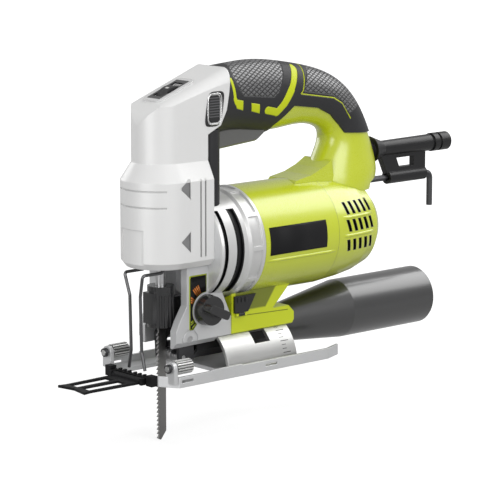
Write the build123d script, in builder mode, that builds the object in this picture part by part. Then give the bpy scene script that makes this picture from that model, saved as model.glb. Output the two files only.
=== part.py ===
"""A corded jigsaw with a D handle, quick blade clamp, pendulum roller and tilting shoe, in millimetres.

X points forward along the cut, Y to the tool's left and Z up. The origin is on the sole of the shoe,
where the axis of the plunger and the blade meets it.
"""

import os
from math import acos, cos, pi, sin, sqrt, tan

from build123d import *

os.makedirs("parts", exist_ok=True)

# Fits
running_fit = 0.03  # radial clearance of a shaft in its bush
moving_gap = 0.3  # clearance between pieces that move past each other

# Gear head, the silver front cover
head_wall = 2.4
barrel_radius = 27.0
neck_radius = 19.4
head_half_width = 22.0  # at the back of the upper part
head_bottom = 77.0
head_bevel = 4.5  # sloped band round the bottom edge
shoulder_low = 136.0
shoulder_high = 148.0
head_rear = -25.0
crown_drop = 15.8  # how far below the roof's front edge the nose starts to round over
roof_front = (9.9, 187.8)
roof_back = (-46.0, 209.0)
roof_round = 10.0  # radius along both edges of the roof
# where the grip meets the head
head_seam = [(-44.0, 201.0), (-43.0, 192.0), (-41.0, 181.0), (-36.0, 171.0)]
head_seam_low = 165.5
groove_depth = 0.7
panel_depth = 0.9  # recess in the lower part of the nose
panel_half_angle = 25.0
notch_depth = 1.3  # three-cornered notches between nose and flanks
dial_radius = 13.0
dial_half_width = 4.5
dial_x = -8.0  # middle of the dial's slot in the roof
dial_rise = 2.6

# Motor line
motor_z = 86.4
motor_radius = 38.4
motor_wall = 3.2
collar_radius = motor_radius + 0.4
collar_nose_radius = motor_radius - 2.4
collar_rear = -61.5
barrel_rear = -131.0
cap_rear = -182.0
cap_end_radius = 25.0

# Armature and field
shaft_radius = 4.0
core_radius = 21.0
core_front = -66.0
core_length = 40.0
coil_end = 9.0
air_gap = 0.6
fan_radius = 30.0
fan_front = -38.0
fan_length = 11.0
commutator_radius = 12.0
commutator_front = -117.0
commutator_length = 13.0
bearing_radius = 11.0
bearing_width = 7.0
front_bearing_x = -32.0
rear_bearing_x = -159.0

# Gear pair
gear_module = 0.95
pinion_teeth = 8
gear_teeth = 44
gear_front = -13.0
gear_width = 8.0
axle_radius = 4.0
crank_radius = 9.0  # half of the stroke
crank_pin_radius = 3.0

# Plunger, clamp and blade
plunger_radius = 3.5
plunger_top = 160.0
bush_wall = 3.5
lower_bush = (76.0, 90.0)
upper_bush = (146.0, 156.0)
clamp_bottom = 34.3
clamp_top = 62.7
clamp_radius = 9.3
clamp_core_radius = 6.2
blade_width = 7.7
blade_front = 4.0
blade_thickness = 1.2
blade_tip = -45.4
tooth_pitch = 3.0
tooth_depth = 1.7

# Gear case with its two cheeks
cheek_face = 20.0
cheek_inner = 13.6
case_front = 3.0
case_rear = -46.0
case_bottom = 21.0
fork_pivot = (-9.0, 26.4)
fork_pin_radius = 2.5
roller_radius = 5.0
roller_z = 13.0
knob_axis = (-23.5, 45.6)
knob_radius = 10.8
knob_height = 15.0
cam_radius = 4.0

# Shoe and bevel bracket, which turn about the X axis on the sole
shoe_half_width = 39.0
shoe_front = 24.0
shoe_rear = -135.0
plate_thickness = 2.6
rim_width = 2.0
rim_height = 7.4
ridge_height = 8.2
notch_half_width = 22.5
notch_rear = -33.0
tail_notch_front = -98.0
tail_notch_half_width = 26.0
thumb_y = 34.2
thumb_z = 13.2
thumb_radius = 5.0
bracket_radius = 31.8
bracket_wall = 2.4
flange_rise = 0.8  # how far the bracket's flanges stand above the plate they are let into
bracket_front = -34.0
bracket_rear = -97.0
bevel_limit = 45.0
saddle_half_width = 20.5
saddle_rear = -104.0
saddle_top = 38.5
bevel_screw_x = -69.0
bevel_screw_radius = 3.0
bevel_screw_top = 37.0

# Handle
grip_skin = 1.4
handle_wall = 3.0

# Dust tube
tube_radius = 21.0
tube_wall = 3.0
tube_z = 24.5
tube_rear = -244.0
duct_front = -24.0
duct_wall = 1.5
plug_radius = 5.4
plug_z = 15.2

crown_start_z = roof_front[1] - crown_drop
roof_slope = (roof_back[1] - roof_front[1]) / (roof_back[0] - roof_front[0])
roof_normal = (-roof_slope / sqrt(1 + roof_slope**2), 1 / sqrt(1 + roof_slope**2))
motor_axis = Axis((0, 0, motor_z), (1, 0, 0))
thumb_x = (case_front + 0.6, case_front + 14.0)
lug_rear = thumb_x[1] + moving_gap
pinion_pitch = gear_module * pinion_teeth / 2
gear_pitch = gear_module * gear_teeth / 2
gear_z = motor_z + pinion_pitch + gear_pitch


def roof_at(x):
    """Height of the head's sloped roof at this X."""
    return roof_front[1] + (x - roof_front[0]) * roof_slope


def side_plane(y):
    """The plane of a side view at this Y: its x is the tool's X, its y is Z."""
    return Plane.XZ.offset(-y)


def cross_plane(x):
    """The plane across the tool at this X: its x is the tool's Y, its y is Z."""
    return Plane(origin=(x, 0, 0), x_dir=(0, 1, 0), z_dir=(1, 0, 0))


def x_cylinder(radius, start, end, z, y=0.0):
    """A round bar along X between two values of X."""
    with BuildPart() as bar:
        with BuildSketch(cross_plane(min(start, end))):
            with Locations((y, z)):
                Circle(radius)
        extrude(amount=abs(end - start))
    return bar.part


def y_cylinder(radius, start, end, x, z):
    """A round bar along Y between two values of Y."""
    with BuildPart() as bar:
        with BuildSketch(side_plane(max(start, end))):
            with Locations((x, z)):
                Circle(radius)
        extrude(amount=abs(end - start))
    return bar.part


def z_cylinder(radius, start, end, x=0.0, y=0.0):
    """A round bar along Z between two heights."""
    with BuildPart() as bar:
        with BuildSketch(Plane.XY.offset(min(start, end))):
            with Locations((x, y)):
                Circle(radius)
        extrude(amount=abs(end - start))
    return bar.part


def side_block(points, low_y, high_y):
    """A side-view outline carried across the tool between two values of Y."""
    with BuildPart() as slab:
        with BuildSketch(side_plane(high_y)):
            Polygon(*points, align=None)
        extrude(amount=high_y - low_y)
    return slab.part


def block(low, high):
    """A plain box between two corners."""
    size = [h - l for l, h in zip(low, high)]
    middle = [(h + l) / 2 for l, h in zip(low, high)]
    with BuildPart() as box:
        with Locations(tuple(middle)):
            Box(*size)
    return box.part


def motor_turned(points):
    """A body turned about the motor axis from (X, radius) points."""
    with BuildPart() as turned:
        with BuildSketch(Plane.XZ):
            Polygon(*[(x, motor_z + r) for x, r in points], align=None)
        revolve(axis=motor_axis)
    return turned.part


def finish(piece, name):
    """Label a finished piece and write its file."""
    piece.part.label = name
    export_step(piece.part, f"parts/{name}.step")


# Gear head: a moulded shell with a round nose, a cone shoulder and a narrower neck under a sloped roof
def head_plan(z, front_radius, half_width):
    with BuildSketch(Plane.XY.offset(z)) as plan:
        with BuildLine():
            ThreePointArc((0, -front_radius), (front_radius, 0), (0, front_radius))
            Polyline(
                (0, front_radius),
                (roof_back[0], half_width),
                (roof_back[0], -half_width),
                (0, -front_radius),
            )
        make_face()
    return plan.sketch


def roof_loaf(inset):
    """A long bar under the sloped roof, round along its two top edges."""
    half = head_half_width - inset
    radius = roof_round - inset
    along = Plane(
        origin=(roof_back[0], 0, roof_back[1]),
        x_dir=(0, 1, 0),
        z_dir=(roof_normal[1], 0, -roof_normal[0]),
    )
    with BuildPart() as loaf:
        with BuildSketch(along.offset(-80)):
            with BuildLine():
                for side in (-1, 1):
                    RadiusArc(
                        (side * half, -roof_round),
                        (side * (half - radius), -inset),
                        -side * radius,
                    )
                    Polyline((side * half, -roof_round), (side * 60, -roof_round), (side * 60, -200))
                Line((radius - half, -inset), (half - radius, -inset))
                Line((-60, -200), (60, -200))
            make_face()
        extrude(amount=220)
    return loaf.part


def head_form(inset):
    """The head's outside moved in by this much on every side."""
    drop = inset * sqrt(1 + roof_slope**2)
    rear = head_rear - (20 if inset else 0)
    nose = barrel_radius - inset
    with BuildPart() as form:
        loft(
            sections=[
                head_plan(head_bottom + inset, nose - 3.5, nose - 3.5),
                head_plan(head_bottom + head_bevel + inset, nose, nose),
                head_plan(shoulder_low - inset / 2, nose, nose),
                head_plan(shoulder_high - inset / 2, neck_radius - inset, head_half_width - inset),
                head_plan(roof_back[1] + 4, neck_radius - inset, head_half_width - inset),
            ],
            ruled=True,
        )
        with BuildSketch(Plane.XZ):
            with BuildLine():
                crown_start = (neck_radius - inset, crown_start_z)
                crown_end = (roof_front[0] - inset, roof_at(roof_front[0] - inset) - drop)
                crown_middle = (neck_radius - 2.6 - inset, crown_start_z + 9.5 - inset)
                Polyline(
                    (rear, head_bottom),
                    (barrel_radius + 1, head_bottom),
                    (barrel_radius + 1, crown_start_z),
                    crown_start,
                )
                ThreePointArc(crown_start, crown_middle, crown_end)
                Line(crown_end, (roof_back[0], roof_back[1] - drop))
                Polyline(
                    (roof_back[0], roof_back[1] - drop),
                    *[(x + inset, z + inset) for x, z in head_seam],
                    (rear, head_seam_low + inset),
                    (rear, head_bottom),
                )
            make_face()
        extrude(amount=barrel_radius + 10, both=True, mode=Mode.INTERSECT)
        add(roof_loaf(inset), mode=Mode.INTERSECT)
    return form.part


def nose_band(low, high, half_angle, depth):
    """What a recess takes off the round nose between two heights, this far to either side of the front."""
    with BuildPart() as band:
        with BuildSketch(Plane.XY.offset(low)):
            with BuildLine():
                CenterArc((0, 0), barrel_radius + 1, -half_angle, 2 * half_angle)
                CenterArc((0, 0), barrel_radius - depth, -half_angle, 2 * half_angle)
                for end in (-half_angle, half_angle):
                    across = (cos(end * pi / 180), sin(end * pi / 180))
                    floor = ((barrel_radius - depth) * across[0], (barrel_radius - depth) * across[1])
                    PolarLine(floor, depth + 1, end)
            make_face()
        extrude(amount=high - low)
    return band.part


dial_top = (dial_x, roof_at(dial_x))
dial_center = (
    dial_top[0] - roof_normal[0] * (dial_radius - dial_rise),
    dial_top[1] - roof_normal[1] * (dial_radius - dial_rise),
)
dial_plane = Plane(
    origin=(dial_top[0], 0, dial_top[1]),
    x_dir=(0, 1, 0),
    z_dir=(roof_normal[0], 0, roof_normal[1]),
)
dial_slot_length = 21.0
lock_center = (-30.5, 182.5)
lock_size = (8.6, 18.0)
lock_travel = 3.0
lock_face = neck_radius + (head_half_width - neck_radius) * lock_center[0] / roof_back[0] + 0.5

with BuildPart() as gear_head:
    add(head_form(0))
    add(head_form(head_wall), mode=Mode.SUBTRACT)
    # the bottom is open round the gear case and the plunger
    mouth = block((head_rear - 1, -cheek_face, head_bottom - 1), (11, cheek_face, head_bottom + 8))
    add(mouth, mode=Mode.SUBTRACT)
    # ribs that carry the speed dial's trunnions under the roof
    for side in (-1, 1):
        with BuildSketch(side_plane(side * 7.5 + 1.2)):
            Polygon(
                (dial_center[0] - 6, dial_center[1] - 5),
                (dial_center[0] + 6, dial_center[1] - 5),
                (dial_center[0] + 6, roof_at(dial_center[0] + 6) - 1),
                (dial_center[0] - 6, roof_at(dial_center[0] - 6) - 1),
                align=None,
            )
        extrude(amount=2.4)
    add(y_cylinder(2.5 + running_fit, -12, 12, *dial_center), mode=Mode.SUBTRACT)
    # slot for the dial through the roof
    with BuildSketch(dial_plane):
        Rectangle(2 * dial_half_width + 2 * moving_gap, dial_slot_length)
    extrude(amount=8, both=True, mode=Mode.SUBTRACT)
    # fine grooves round the nose, and the recessed panel below them
    for groove_z in (119.0, 130.0):
        add(nose_band(groove_z, groove_z + 1, 60, groove_depth), mode=Mode.SUBTRACT)
    add(nose_band(head_bottom - 1, 104, panel_half_angle, panel_depth), mode=Mode.SUBTRACT)
    # on each flank, two three-cornered notches and two upright grooves
    for side in (-1, 1):
        low, high = sorted((side * (barrel_radius - notch_depth), side * (barrel_radius + 2)))
        for notch in ([(-4.5, 102.5), (3.7, 95.8), (-4.5, 88)], [(-4.5, 139), (4.5, 132), (-4.5, 124)]):
            add(side_block(notch, low, high), mode=Mode.SUBTRACT)
        for groove_x in (-13.4, -17.5):
            with Locations((groove_x, side * barrel_radius, 112)):
                Box(1.3, 2 * groove_depth, 56, mode=Mode.SUBTRACT)
    # window for the lock button on the left flank
    with BuildSketch(side_plane(head_half_width + 3)):
        with Locations(lock_center):
            RectangleRounded(lock_size[0] + 2 * moving_gap, lock_size[1] + 2 * moving_gap, 2.5)
    extrude(amount=head_half_width, mode=Mode.SUBTRACT)

# Lock button: slides in to hold the trigger
with BuildPart() as lock_button:
    with BuildSketch(side_plane(lock_face)):
        with Locations(lock_center):
            RectangleRounded(*lock_size, 2.2)
    extrude(amount=9)

# Speed dial: a thumbwheel on two trunnions
with BuildPart() as speed_dial:
    add(y_cylinder(dial_radius, -dial_half_width, dial_half_width, *dial_center))
    add(y_cylinder(2.5, -10, 10, *dial_center))

# Dial window: a frame round the slot on the sloped roof
with BuildPart() as dial_window:
    with BuildSketch(dial_plane):
        RectangleRounded(19, 34, 5)
        Rectangle(2 * dial_half_width + 2 * moving_gap, dial_slot_length, mode=Mode.SUBTRACT)
    extrude(amount=1.2)

# Gear case: one casting with two cheeks beside the blade, the bush seats and the bearing plate
# keeps the lower corners of the cheeks and the saddle off the tilted shoe
bevel_offset = (plate_thickness + flange_rise) * sqrt(2) + 0.4
bush_radius = plunger_radius + bush_wall
collar_inner = collar_nose_radius - 2.5
collar_outline = [
    (head_rear, collar_nose_radius - 0.8),
    (head_rear - 1.5, collar_nose_radius),
    (-47, collar_nose_radius + 1.4),
    (-49, collar_radius),
    (collar_rear, collar_radius),
]
with BuildPart() as gear_case:
    cheek = [
        (case_front, case_bottom),
        (case_front, 33),
        (0, 39.5),
        (-6.5, 50),
        (-6.5, lower_bush[0] + 6),
        (head_rear, lower_bush[0] + 6),
        (-35, 62),
        (case_rear, 38),
        (case_rear, case_bottom + 2),
        (-40, case_bottom + 1),
    ]
    add(side_block(cheek, -cheek_face, cheek_face))
    add(block((-33.5, -cheek_inner, 10), (10, cheek_inner, lower_bush[0])), mode=Mode.SUBTRACT)
    add(block((-33.5, -cheek_inner, lower_bush[0] + 5), (10, cheek_inner, 100)), mode=Mode.SUBTRACT)
    add(motor_turned([(head_rear, 0), *collar_outline, (collar_rear, 0)]), mode=Mode.SUBTRACT)
    add(x_cylinder(bracket_radius + moving_gap, bracket_front + 0.5, case_rear - 1, 0), mode=Mode.SUBTRACT)
    # round groove about each fork pin
    for side in (-1, 1):
        groove_floor = side * (cheek_face - 0.7)
        add(y_cylinder(7.2, groove_floor, side * (cheek_face + 1), *fork_pivot), mode=Mode.SUBTRACT)
        add(y_cylinder(5.8, groove_floor, side * cheek_face, *fork_pivot))
    for side in (-1, 1):
        corner = side * (cheek_face + 1)
        with BuildSketch(cross_plane(-50)):
            Polygon(
                (0, bevel_offset - 25),
                (0, bevel_offset),
                (corner, bevel_offset + cheek_face + 1),
                (corner, bevel_offset - 25),
                align=None,
            )
        extrude(amount=60, mode=Mode.SUBTRACT)
    # floor under the gears, with the lower bush seat
    add(block((head_rear, -cheek_inner, lower_bush[0]), (9.5, cheek_inner, lower_bush[0] + 5)))
    add(z_cylinder(bush_radius + 2.5, *lower_bush))
    # bearing plate in the collar, mast behind the gear and the arm of the upper bush
    add(x_cylinder(collar_inner, head_rear - 8, head_rear, motor_z))
    add(block((head_rear, -12, motor_z + 25), (head_rear + 3, 12, upper_bush[1])))
    add(block((head_rear, -9, upper_bush[0]), (0, 9, upper_bush[1])))
    add(z_cylinder(bush_radius + 2.5, *upper_bush))
    # bores
    add(z_cylinder(bush_radius, lower_bush[0] - 1, upper_bush[1] + 1), mode=Mode.SUBTRACT)
    add(x_cylinder(bearing_radius, front_bearing_x, head_rear + 1, motor_z), mode=Mode.SUBTRACT)
    add(x_cylinder(shaft_radius + 1.5, head_rear - 9, head_rear + 1, motor_z), mode=Mode.SUBTRACT)
    add(x_cylinder(axle_radius, head_rear - 6, head_rear + 4, gear_z), mode=Mode.SUBTRACT)
    add(y_cylinder(fork_pin_radius, -cheek_face - 1, cheek_face + 1, *fork_pivot), mode=Mode.SUBTRACT)
    add(y_cylinder(cam_radius + running_fit, -17, cheek_face + 1, *knob_axis), mode=Mode.SUBTRACT)
    for side in (-1, 1):
        add(z_cylinder(1.1, lower_bush[0] - 1, lower_bush[0] + 5, 6, side * 9.7), mode=Mode.SUBTRACT)

# Bushes of the plunger
with BuildPart() as lower_bush_ring:
    add(z_cylinder(bush_radius, *lower_bush))
    add(z_cylinder(plunger_radius + running_fit, lower_bush[0] - 1, lower_bush[1] + 1), mode=Mode.SUBTRACT)
with BuildPart() as upper_bush_ring:
    add(z_cylinder(bush_radius, *upper_bush))
    add(z_cylinder(plunger_radius + running_fit, upper_bush[0] - 1, upper_bush[1] + 1), mode=Mode.SUBTRACT)

def collar_slot(front, rear, floor):
    """A curved slot round both flanks of the collar, down to this radius."""
    with BuildPart() as slot:
        add(x_cylinder(collar_radius + 2, front, rear, motor_z))
        add(x_cylinder(floor, front + 1, rear - 1, motor_z), mode=Mode.SUBTRACT)
        add(block((-60, -50, motor_z + 27), (-20, 50, motor_z + 50)), mode=Mode.SUBTRACT)
        add(block((-60, -50, motor_z - 50), (-20, 50, motor_z - 30)), mode=Mode.SUBTRACT)
    return slot.part


# Collar: a cast ring between the gear head and the motor, with two curved air slots on each side
with BuildPart() as motor_collar:
    add(
        motor_turned(
            [
                (head_rear, collar_inner),
                *collar_outline,
                (collar_rear, motor_radius - motor_wall),
                (head_rear - 11, motor_radius - motor_wall),
                (head_rear - 11, collar_inner),
            ]
        )
    )
    for slot_front, slot_rear, slot_floor in ((-27.0, -30.2, collar_inner + 0.6), (-38.6, -42.2, 30.0)):
        add(collar_slot(slot_front, slot_rear, slot_floor), mode=Mode.SUBTRACT)
    # shallow pockets round the rear band, with ribs between them
    with BuildSketch(cross_plane(collar_rear + 2.5)):
        with Locations((0, motor_z)):
            Circle(collar_radius + 1)
            Circle(collar_radius - 1.2, mode=Mode.SUBTRACT)
            with PolarLocations(collar_radius, 10):
                Rectangle(8, 3.2, mode=Mode.SUBTRACT)
    extrude(amount=8.5, mode=Mode.SUBTRACT)

# Fan baffle: a dark ring inside the collar that shows through the slots
with BuildPart() as fan_baffle:
    baffle_radius = motor_radius - motor_wall
    add(
        motor_turned(
            [
                (-37, baffle_radius - 1.6),
                (-37, baffle_radius),
                (-56, baffle_radius),
                (-56, baffle_radius - 1.6),
            ]
        )
    )


# Handle: elliptical sections along the D
# each is middle x, middle z, outward x, outward z, half depth and half width
handle_sections = [
    (-22.0, 181.0, 0.0, 1.0, 17.5, 19.5),
    (-44.0, 185.4, 0.0, 1.0, 22.2, 19.0),
    (-64.0, 186.4, 0.0, 1.0, 22.8, 18.2),
    (-95.0, 184.6, 0.0, 1.0, 24.0, 17.0),
    (-125.0, 182.6, -0.17, 0.985, 20.4, 16.0),
    (-154.0, 173.0, -0.54, 0.842, 18.0, 15.5),
    (-168.0, 151.5, -0.965, 0.262, 20.0, 16.0),
    (-169.0, 131.0, -1.0, 0.0, 28.0, 18.5),
    (-165.0, 112.0, -1.0, 0.0, 27.0, 20.0),
]


def handle_form(growth):
    """The handle's loft, grown outward by this much."""
    faces = []
    for x, z, out_x, out_z, half_depth, half_width in handle_sections:
        plane = Plane(origin=(x, 0, z), x_dir=(out_x, 0, out_z), z_dir=(-out_z, 0, out_x))
        with BuildSketch(plane) as section:
            Ellipse(half_depth + growth, half_width + growth)
        faces.append(section.sketch)
    with BuildPart() as form:
        loft(sections=faces)
    return form.part


cap_outline = [
    (barrel_rear, 0),
    (barrel_rear, motor_radius),
    (-150, 36.6),
    (-163, 34.6),
    (-175, 31.0),
    (cap_rear, cap_end_radius),
    (cap_rear, 0),
]
trigger_front = -40.0
trigger_rear = -87.0
trigger_half_width = 8.0
trigger_bottom = 151.5
trigger_top = 170.0
trigger_travel = 6.0
switch_top = 198.0
guard_z = 137.0
guard_plug_radius = 7.0
guard_flange_radius = 10.0
guard_front = -180.0
guard_seat = -196.5

# the space in front of the seam between head and grip
ahead_of_grip = side_block(
    [
        (roof_back[0], 240),
        roof_back,
        *head_seam,
        (head_rear, head_seam_low),
        (head_rear, 60),
        (60, 60),
        (60, 240),
    ],
    -60,
    60,
)

# Motor housing: the tube round the field
with BuildPart() as motor_housing:
    add(x_cylinder(motor_radius, collar_rear, barrel_rear, motor_z))
    bore = motor_radius - motor_wall
    add(x_cylinder(bore, collar_rear + 1, barrel_rear - 1, motor_z), mode=Mode.SUBTRACT)

# Handle: hollow, moulded as two halves that stand on the motor housing and its cap
with BuildPart() as handle_hollow:
    add(handle_form(-handle_wall))
    add(block((-128, -40, 140), (0, 40, 240)), mode=Mode.INTERSECT)
with BuildPart() as handle:
    add(handle_form(0))
    # fairing from the rear post down to the barrel
    fairing = [(-146, 136), (-137, 131), (-126, 127), (-112, 124.5), (-100, 110), (-150, 110)]
    add(side_block(fairing, -14, 14))
    add(ahead_of_grip, mode=Mode.SUBTRACT)
    add(block((head_rear - 13, -30, 100), (0, 30, head_seam_low + 2.5)), mode=Mode.SUBTRACT)
    motor_outline = [(collar_rear, 0), (collar_rear, motor_radius), *cap_outline[1:]]
    add(motor_turned(motor_outline), mode=Mode.SUBTRACT)
    add(x_cylinder(bore, cap_rear + 1, -200, motor_z), mode=Mode.SUBTRACT)  # room for the hex key's tip
    add(handle_hollow.part, mode=Mode.SUBTRACT)
    add(
        block(
            (trigger_rear - moving_gap, -trigger_half_width - moving_gap, 150),
            (trigger_front + 20, trigger_half_width + moving_gap, 175),
        ),
        mode=Mode.SUBTRACT,
    )
    add(x_cylinder(guard_plug_radius, guard_front, -215, guard_z), mode=Mode.SUBTRACT)
    add(x_cylinder(guard_flange_radius, guard_seat, -215, guard_z), mode=Mode.SUBTRACT)
    for side in (-1, 1):
        # pads that hold the switch between the two halves
        add(block((-70, min(side * 9, side * 16), 184), (-66, max(side * 9, side * 16), 189)))

with BuildPart() as handle_left:
    add(handle.part)
    split(bisect_by=Plane.XZ, keep=Keep.BOTTOM)
with BuildPart() as handle_right:
    add(handle.part)
    split(bisect_by=Plane.XZ, keep=Keep.TOP)

# Grip cover: the soft skin over the top and sides of the handle, with the post down to the motor
with BuildPart() as grip_cover:
    add(handle_form(grip_skin))
    add(handle_form(0), mode=Mode.SUBTRACT)
    with BuildSketch(Plane.XZ):
        Polygon(
            (0, 150),
            (-88, 150),
            (-92, 165),
            (-107, 178),
            (-131, 174.5),
            (-144, 168.5),
            (-153, 160.5),
            (-158, 154.5),
            (-200, 152),
            (-200, 230),
            (0, 230),
            align=None,
        )
    extrude(amount=40, both=True, mode=Mode.INTERSECT)
    with BuildSketch(Plane.XY.offset(motor_z)):
        with Locations((head_rear - 6.5, 0)):
            RectangleRounded(13, 2 * head_half_width - 2, 5.5)
    extrude(amount=head_seam_low + 2.5 - motor_z)
    add(handle_form(0), mode=Mode.SUBTRACT)
    add(ahead_of_grip, mode=Mode.SUBTRACT)
    add(motor_turned([(head_rear, 0), *collar_outline, (collar_rear, 0)]), mode=Mode.SUBTRACT)
    add(
        block(
            (trigger_rear - moving_gap, -trigger_half_width - moving_gap, 150),
            (trigger_front + moving_gap, trigger_half_width + moving_gap, 175),
        ),
        mode=Mode.SUBTRACT,
    )

# Trigger: slides up into the grip
with BuildPart() as trigger:
    trigger_side = [
        (trigger_front, trigger_bottom),
        (trigger_rear + 8, trigger_bottom + 3.2),
        (trigger_rear, trigger_bottom + 9),
        (trigger_rear, trigger_top),
        (trigger_front, trigger_top),
    ]
    add(side_block(trigger_side, -trigger_half_width, trigger_half_width))
    fillet(trigger.edges().filter_by(Axis.X, tolerance=6).group_by(Axis.Z)[0], 2.5)

# Switch module above the trigger
with BuildPart() as switch_module:
    switch_bottom = trigger_top + trigger_travel + moving_gap
    add(block((trigger_rear + 1, -9, switch_bottom), (trigger_front - 8, 9, switch_top)))

# Rear cap: the vented end of the motor housing, with the rear bearing seat
cap_wall = 2.8
with BuildPart() as rear_cap:
    add(motor_turned(cap_outline))
    add(
        motor_turned(
            [
                (barrel_rear + 1, 0),
                (barrel_rear + 1, motor_radius - motor_wall),
                (-150, 36.6 - cap_wall),
                (-163, 34.6 - cap_wall),
                (-174, 31.0 - cap_wall),
                (cap_rear + cap_wall, cap_end_radius - cap_wall),
                (cap_rear + cap_wall, 0),
            ]
        ),
        mode=Mode.SUBTRACT,
    )
    add(x_cylinder(bearing_radius + 2, rear_bearing_x + bearing_width, cap_rear, motor_z))
    add(x_cylinder(bearing_radius, rear_bearing_x, rear_bearing_x + 10, motor_z), mode=Mode.SUBTRACT)
    add(x_cylinder(shaft_radius + 1, rear_bearing_x - 8, rear_bearing_x + 8, motor_z), mode=Mode.SUBTRACT)
    for side in (-1, 1):
        for row_z in (104.0, 92.0, 78.0):
            for column in range(5):
                slot_x = -143.0 - column * 6.2
                with BuildSketch(side_plane(side * 45 + 20)):
                    with Locations((slot_x, row_z)):
                        Polygon((-1.2, -4), (1.2, -4), (3.2, 4), (0.8, 4), align=None)
                extrude(amount=40, mode=Mode.SUBTRACT)

# Cord guard: rubber strain relief with a ribbed end and the holder of the hex key below
key_z = 115.0
key_flats = 4.0
key_corner_radius = key_flats / sqrt(3)
key_tip = -191.0
key_bend_x = -259.0
key_end_z = 90.0
with BuildPart() as cord_guard:
    with BuildSketch(Plane.XZ):
        Polygon(
            *[
                (x, guard_z + r)
                for x, r in (
                    (guard_front, 3.6),
                    (guard_front, guard_plug_radius),
                    (guard_seat, guard_plug_radius),
                    (guard_seat, guard_flange_radius),
                    (-200, 8.6),
                    (-208, 5.6),
                    (-257, 6.2),
                    (-257, 5.4),
                    (-259, 5.4),
                    (-259, 6.8),
                    (-264, 6.8),
                    (-264, 5.8),
                    (-266, 5.8),
                    (-266, 6.8),
                    (-275, 6.8),
                    (-275, 3.6),
                )
            ],
            align=None,
        )
    revolve(axis=Axis((0, 0, guard_z), (1, 0, 0)))
    web = [(-206, guard_z - 5), (-214, key_z), (-252, key_z), (-252, guard_z - 5)]
    add(side_block(web, -2.4, 2.4))
    window = [(-222, guard_z - 8), (-225, key_z + 7), (-240, key_z + 7), (-240, guard_z - 8)]
    add(side_block(window, -3, 3), mode=Mode.SUBTRACT)
    add(x_cylinder(4.8, -214, -252, key_z))
    add(x_cylinder(key_corner_radius + moving_gap, -200, -260, key_z), mode=Mode.SUBTRACT)
    add(x_cylinder(3.6, -170, -280, guard_z), mode=Mode.SUBTRACT)

# Hex key in its holder
with BuildPart() as hex_key:
    with BuildLine() as key_path:
        FilletPolyline((key_tip, 0, key_z), (key_bend_x, 0, key_z), (key_bend_x, 0, key_end_z), radius=5)
    with BuildSketch(Plane(origin=(key_tip, 0, key_z), x_dir=(0, 1, 0), z_dir=(-1, 0, 0))):
        RegularPolygon(key_corner_radius, 6)
    sweep()

# Armature: shaft, core, winding heads, commutator and fan turn together
pinion_front = gear_front + 0.5
pinion_rear = gear_front - gear_width - 0.5
with BuildPart() as armature_shaft:
    add(x_cylinder(2.2, pinion_front, pinion_rear, motor_z))
    add(x_cylinder(shaft_radius, pinion_rear, rear_bearing_x - 2, motor_z))


def tooth_ring(teeth, phase, base_angle, tip, root, thinning):
    """The outline of a spur gear: straight flanks between points on its involute, root to tip."""
    pitch = gear_module * teeth / 2
    base = pitch * cos(base_angle)
    half_tooth = pi / (2 * teeth) - thinning / (2 * pitch)
    points = []

    def involute(radius):
        turn = acos(min(1.0, base / radius))
        return tan(turn) - turn

    flank = [root] + [max(root, base) + (tip - max(root, base)) * step / 3 for step in range(1, 4)]
    for tooth in range(teeth):
        middle = phase + 2 * pi * tooth / teeth
        spread = [half_tooth + involute(pitch) - involute(max(r, base)) for r in flank]
        points += [(r * cos(middle - s), r * sin(middle - s)) for r, s in zip(flank, spread)]
        points += [(r * cos(middle + s), r * sin(middle + s)) for r, s in zip(flank[::-1], spread[::-1])]
    return points


pressure_angle = 25 * pi / 180
addendum = 0.75 * gear_module
dedendum = 1.05 * gear_module
backlash = 0.14

with BuildPart() as pinion:
    with BuildSketch(cross_plane(pinion_rear)):
        with Locations((0, motor_z)):
            Polygon(
                *tooth_ring(
                    pinion_teeth,
                    pi / 2 + pi / pinion_teeth,
                    pressure_angle,
                    pinion_pitch + addendum,
                    pinion_pitch - dedendum,
                    backlash,
                ),
                align=None,
            )
            Circle(2.2, mode=Mode.SUBTRACT)
    extrude(amount=pinion_front - pinion_rear)

with BuildPart() as armature_core:
    add(x_cylinder(core_radius, core_front, core_front - core_length, motor_z))
    add(x_cylinder(shaft_radius, core_front + 1, core_front - core_length - 1, motor_z), mode=Mode.SUBTRACT)

with BuildPart() as armature_windings:
    for start in (core_front, core_front - core_length - coil_end):
        add(x_cylinder(core_radius - 2.5, start, start + coil_end, motor_z))
    add(x_cylinder(shaft_radius, 0, -200, motor_z), mode=Mode.SUBTRACT)

with BuildPart() as commutator:
    add(x_cylinder(commutator_radius, commutator_front, commutator_front - commutator_length, motor_z))
    add(x_cylinder(shaft_radius, 0, -200, motor_z), mode=Mode.SUBTRACT)

with BuildPart() as cooling_fan:
    add(x_cylinder(9, fan_front, fan_front - fan_length, motor_z))
    add(x_cylinder(fan_radius, fan_front - fan_length + 1.6, fan_front - fan_length, motor_z))
    with BuildSketch(cross_plane(fan_front - fan_length)):
        with Locations((0, motor_z)):
            with PolarLocations(18.5, 14):
                Rectangle(21, 1.4)
    extrude(amount=fan_length - 1)
    add(x_cylinder(shaft_radius, 0, -200, motor_z), mode=Mode.SUBTRACT)

# Field: laminated ring in the housing with its coil heads
field_inner = core_radius + air_gap
with BuildPart() as field_core:
    add(x_cylinder(motor_radius - motor_wall, core_front, core_front - core_length, motor_z))
    add(x_cylinder(field_inner, 0, -200, motor_z), mode=Mode.SUBTRACT)
with BuildPart() as field_coils:
    for start in (core_front, core_front - core_length - coil_end):
        add(x_cylinder(motor_radius - motor_wall - 3, start, start + coil_end, motor_z))
    add(x_cylinder(field_inner + 1, 0, -200, motor_z), mode=Mode.SUBTRACT)

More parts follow.
